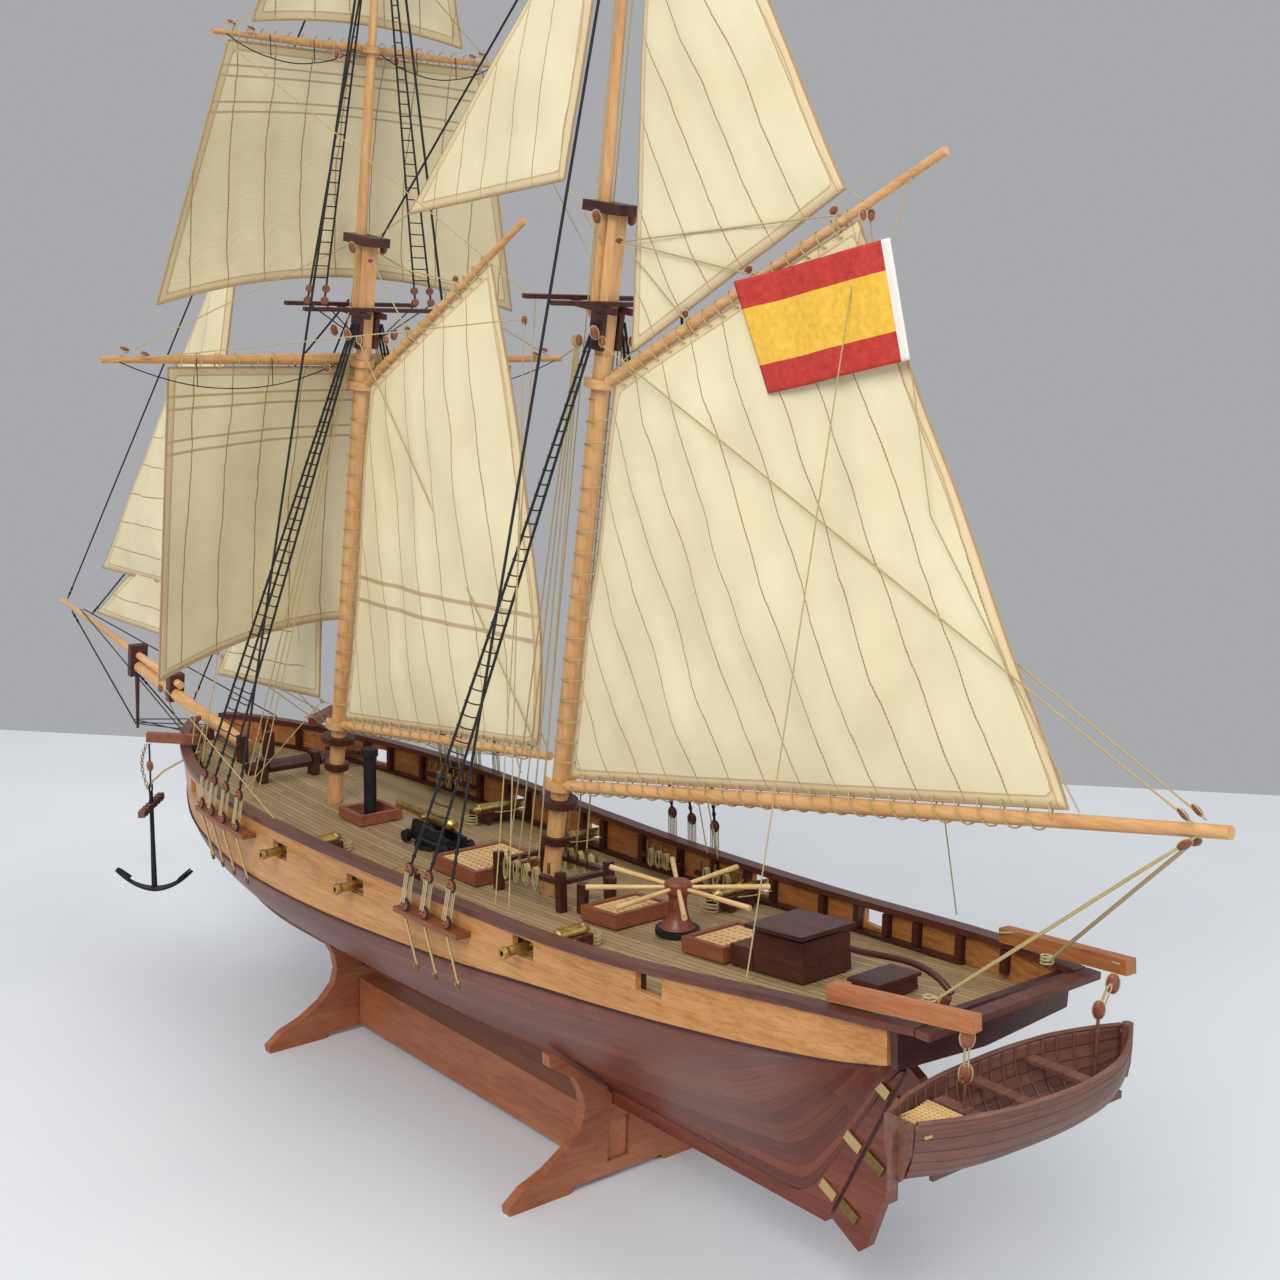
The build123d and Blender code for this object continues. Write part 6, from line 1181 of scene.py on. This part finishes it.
# ------------------------------------------------------------------ ship's boat
def ship_boat():
    st = [(68.5, 5.2, 128.5, 110.0), (52, 11.0, 128.0, 107.4), (30, 15.2, 127.2, 106.2), (6, 16.6, 126.8, 106.0), (-16, 14.4, 127.2, 106.4),
          (-34, 7.6, 128.2, 108.4), (-43, 1.9, 129.0, 113.0)]
    wf = curve([(a, b) for a, b, c, d in st])
    tf = curve([(a, c) for a, b, c, d in st])
    bf = curve([(a, d) for a, b, c, d in st])
    ny, nt_ = 60, 22
    BX = -316.0
    verts, uvs = [], []
    for i in range(ny + 1):
        y = -43 + 111.5 * i / ny
        w, zt, zb = wf(y), tf(y), bf(y)
        for j in range(-nt_, nt_ + 1):
            t = abs(j) / nt_
            ang = t * math.pi / 2
            xx = w * math.sin(ang) ** 0.85
            zz = zb + (zt - zb) * (1 - math.cos(ang) ** 0.9)
            lap = 0.22 * ((t * 7) % 1.0)
            verts.append((BX + math.copysign(xx + lap * (0 if t == 0 else 1), j), y, zz))
            uvs.append((y / 3.0 + (50 if j < 0 else 0), 7.0 * t + (30 if j < 0 else 0)))
    w_ = 2 * nt_ + 1
    faces = [(i * w_ + j, i * w_ + j + 1, (i + 1) * w_ + j + 1, (i + 1) * w_ + j) for i in range(ny) for j in range(w_ - 1)]
    build_mesh("boat_planking", verts, faces, BOATP, "boat", {"UVMap": uvs}, thick=0.0009, replaces=["boat_hull"])
    bag = Bag("boat_gunwale")
    for s in (1, -1):
        bag.tube([(BX + s * (wf(y) + 0.1), y, tf(y) + 0.2) for y in np.linspace(-43, 68, 40)], 0.85, 8)
        bag.tube([(BX + s * (wf(y) + 0.5), y, tf(y) - 3.0) for y in np.linspace(-42, 68, 40)], 0.4, 6)
    bag.tube([(BX, -43.2, 111.5), (BX, -43.8, 116), (BX, -44.0, 123), (BX, -44.0, 130.2)], [1.6, 2.0, 2.1, 2.0], 10)
    for y in np.linspace(-34, 62, 17):
        pts = []
        for t in np.linspace(-1, 1, 21):
            ang = abs(t) * math.pi / 2
            pts.append((BX + math.copysign(max(wf(y) * math.sin(ang) ** 0.85 - 0.6, 0), t), y, bf(y) + (tf(y) - bf(y)) * (1 - math.cos(ang) ** 0.9) + 0.5 * math.cos(ang)))
        bag.tube(pts, 0.45, 5)
    bag.box((BX, 60.5, 121.5), (12.0, 8.0, 0.9))
    bag.build(BOATW, "boat", slot="dark_wood")
    gr = Bag("boat_grating")
    for k in range(9):
        gr.box((BX - 7.2 + 1.8 * k, 56.0, 124.4), (0.8, 20.0, 0.9))
    for k in range(11):
        y = 47.0 + 1.8 * k
        gr.box((BX, y, 124.7), (1.7 * wf(y) - 3.0, 0.8, 0.9))
    gr.build(BOX, "boat", slot="dark_wood")
    rud = Bag("boat_rudder")
    rud.box((BX, 71.5, 114.0), (1.4, 3.6, 22.0))
    rud.build(BOATW, "boat", slot="dark_wood")
    straps = Bag("boat_gripes")
    for y in (42.0, -29.0):
        straps.ring((BX, y, 133.6 if y > 0 else 137.6), (1, 0, 0), 1.3, 0.3, 12, 6)
    straps.build(BRASSD, "boat", slot="brass")


ship_boat()


# ------------------------------------------------------------------ anchor
def anchor():
    AX, AY, RX, RY = 239.5, 57.0, 0.638, 0.770
    bag = Bag("anchor_iron")
    bag.tube([(AX, AY, 106.5), (AX, AY, 80), (AX, AY, 52)], [1.15, 1.3, 1.7], 8)
    n = 18
    for s in (1, -1):
        pts, rr = [], []
        for k in range(n + 1):
            t = 21.0 * k / n
            pts.append((AX + s * RX * t, AY + s * RY * t, 51.5 + 0.0235 * t * t + 0.0 * t))
            rr.append(1.7 - 0.9 * k / n)
        bag.tube(pts, rr, 8)
        c = Vector(pts[-4])
        d = (Vector(pts[-1]) - Vector(pts[-5])).normalized()
        side = Vector((-RY, RX, 0))
        inn = side.cross(d).normalized()
        if inn.z < 0:
            inn = -inn
        a = c - d * 4.2
        vv = [a - side * 3.4, a + side * 3.4, c + d * 2.6 + side * 1.8, c + d * 4.8, c + d * 2.6 - side * 1.8]
        up = [p + inn * 1.0 for p in vv]
        dn = [p + inn * 2.0 for p in vv]
        b0 = len(bag.v)
        bag.add([tuple(p) for p in up + dn], [(4, 3, 2, 1, 0), (5, 6, 7, 8, 9), (0, 1, 6, 5), (1, 2, 7, 6), (2, 3, 8, 7), (3, 4, 9, 8), (4, 0, 5, 9)])
    bag.ring((AX, AY, 108.6), (RX, RY, 0), 2.8, 0.55, 18, 6)
    bag.tube([(AX, AY, 111), (AX, AY, 122), (AX - 0.1, AY, 133.4)], 0.55, 6)
    bag.build(IRON, "port_anchor", slot="blackened_metal", replaces=["anchor"])
    bands = Bag("anchor_bands")
    for t in (-15, -9, -3.4, 3.4, 9, 15):
        c = Vector((AX - t * RY, AY + t * RX, 99))
        bands.ring(c, (-RY, RX, 0), 2.5, 0.4, 4, 6)
    bands.build(IRON, "port_anchor", slot="blackened_metal")
    ch = Bag("anchor_chain")
    for k in range(14):
        t = k / 13
        c = Vector((AX + 1.0 + 6.0 * math.sin(math.pi * t), AY + 1.5, 109 + 23 * t))
        ch.ring(c, (1, 0, 0) if k % 2 else (0, 1, 0), 0.8, 0.22, 10, 5, 1.5, (0, 0, 1))
    ch.build(BRASSD, "port_anchor", slot="blackened_metal")
    block("port_anchor", (AX, AY, 121.0), (0, 0, 1), 4.6)
    cab = Bag("anchor_cable")
    cab.tube([(AX, AY, 108.8), (AX - 0.5, AY - 0.5, 112), (AX - 4, AY - 6, 118), (AX - 12, AY - 15, 125), (AX - 20, AY - 19.5, 130)], 0.6, 7)
    cb = cab.build(TAN, None, slot="tan_cord")
    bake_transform(cb)


anchor()

for body, (bb, bs) in blocks.items():
    bb.build(REDWOOD, body, slot="dark_wood")
    bs.build(LANY, body, slot="tan_cord")

# ------------------------------------------------------------------ gun tackles
tack = Bag("gun_tackles")
for s in (1, -1):
    for x in (68.0, 3.0, -118.0):
        yo = side_y(x, deck_z(x) + 5) - BT
        zk = deck_top(x, yo - 20) + 6.5
        for e in (1, -1):
            tack.rope((x + e * 4.2, s * (yo - 22), zk), (x + e * 9.5, s * (yo - 1.0), zk + 0.6), 0.32, sag=1.0, seg=6)
        tack.tube([(x + 4.4 * math.cos(a), s * (yo - 31 + 3.4 * math.sin(a)), deck_top(x, yo - 30) + 0.6 + 0.1 * i)
                   for i, a in enumerate(np.linspace(0, 6 * math.pi, 48)) for _ in (0,)], 0.3, 5)
tack.build(TAN, slot="tan_cord")

# ------------------------------------------------------------------ small edges on the made pieces
for node, w in (("cap_rail", 0.00035), ("transom", 0.0004), ("channels", 0.0003), ("davits", 0.0004), ("hatch_coamings", 0.0003),
                ("deckhouses", 0.0003), ("bitts_and_rails", 0.0003), ("crosstrees", 0.00025), ("spar_fittings", 0.0003),
                ("gun_carriages", 0.0002), ("pivot_carriage", 0.00025), ("stand_cradles", 0.0003), ("stand_board", 0.0004),
                ("anchor_stock", 0.00025), ("timberheads", 0.0002), ("keel_stem_sternpost", 0.0004), ("rudder_blade", 0.0004)):
    mod = N[node].modifiers.new("edge", "BEVEL")
    mod.width = w
    mod.segments = 2
    mod.limit_method = "ANGLE"
    mod.angle_limit = math.radians(35)
    mod.harden_normals = False

# ------------------------------------------------------------------ floor, light, camera
def floor():
    me = bpy.data.meshes.new("floor")
    a, b = Vector((0.817, -0.089, 0)), Vector((0.012, -0.801, 0))
    along_edge = (b - a).normalized()
    a, b = a - along_edge * 9, b + along_edge * 9
    back = Vector((along_edge.y, -along_edge.x, 0)) * 14
    if back.x > 0:
        back = -back
    me.from_pydata([a, b, b + back, a + back], [], [(0, 1, 2, 3)])
    ob = bpy.data.objects.new("floor", me)
    bpy.context.scene.collection.objects.link(ob)
    m, nt, b = new_mat("floor_pale")
    n = noise_tex(nt, mapped(nt, (3, 3, 3)), 1.0, 3.0)
    link(nt, ramp(nt, n, [(0.3, (0.66, 0.69, 0.73)), (0.7, (0.72, 0.745, 0.775))]), b.inputs["Base Color"])
    b.inputs["Roughness"].default_value = 0.55
    me.materials.append(m)
    ob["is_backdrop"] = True


floor()
scene = bpy.context.scene
world = bpy.data.worlds.new("studio")
scene.world = world
world.use_nodes = True
bg = world.node_tree.nodes["Background"]
bg.inputs["Color"].default_value = (0.715, 0.725, 0.75, 1)
bg.inputs["Strength"].default_value = 0.55


def area(name, loc, target, size, power, color=(1, 1, 1)):
    d = bpy.data.lights.new(name, "AREA")
    d.shape = "RECTANGLE"
    d.size, d.size_y = size
    d.energy = power
    d.color = color
    o = bpy.data.objects.new(name, d)
    scene.collection.objects.link(o)
    o.location = loc
    o.rotation_euler = (Vector(target) - Vector(loc)).to_track_quat("-Z", "Y").to_euler()
    o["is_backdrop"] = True


area("key", (-1.3, 1.9, 2.0), (0, 0, 0.2), (1.6, 1.6), 62, (1.0, 0.98, 0.95))
area("fill", (-2.2, -0.8, 1.3), (0, 0, 0.2), (1.8, 1.8), 16, (0.93, 0.96, 1.0))
area("top", (0.5, 0.1, 2.6), (0, 0, 0.2), (2.4, 2.4), 26)

cam_d = bpy.data.cameras.new("photo_view")
cam_d.sensor_width = 36.0
cam_d.lens = 49.1
cam_d.clip_start, cam_d.clip_end = 0.02, 60
cam = bpy.data.objects.new("photo_view", cam_d)
scene.collection.objects.link(cam)
az, el, roll = 4.021, 0.178, 0.013
d = Vector((-math.sin(az) * math.cos(el), math.cos(az) * math.cos(el), -math.sin(el)))
right = Vector((math.cos(az), math.sin(az), 0))
upv = right.cross(d)
r2 = right * math.cos(roll) + upv * math.sin(roll)
u2 = -right * math.sin(roll) + upv * math.cos(roll)
rot = Matrix((r2, u2, -d)).transposed()
cam.matrix_world = Matrix.Translation((-0.7031, 0.4400, 0.3598)) @ rot.to_4x4()
scene.camera = cam
scene.view_settings.view_transform = "Standard"

LAST_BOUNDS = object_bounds()


def plain(v):
    return [plain(x) for x in v] if hasattr(v, "__len__") else float(v)


{"after_load": plain(FIRST_BOUNDS), "before_finish": plain(LAST_BOUNDS)}
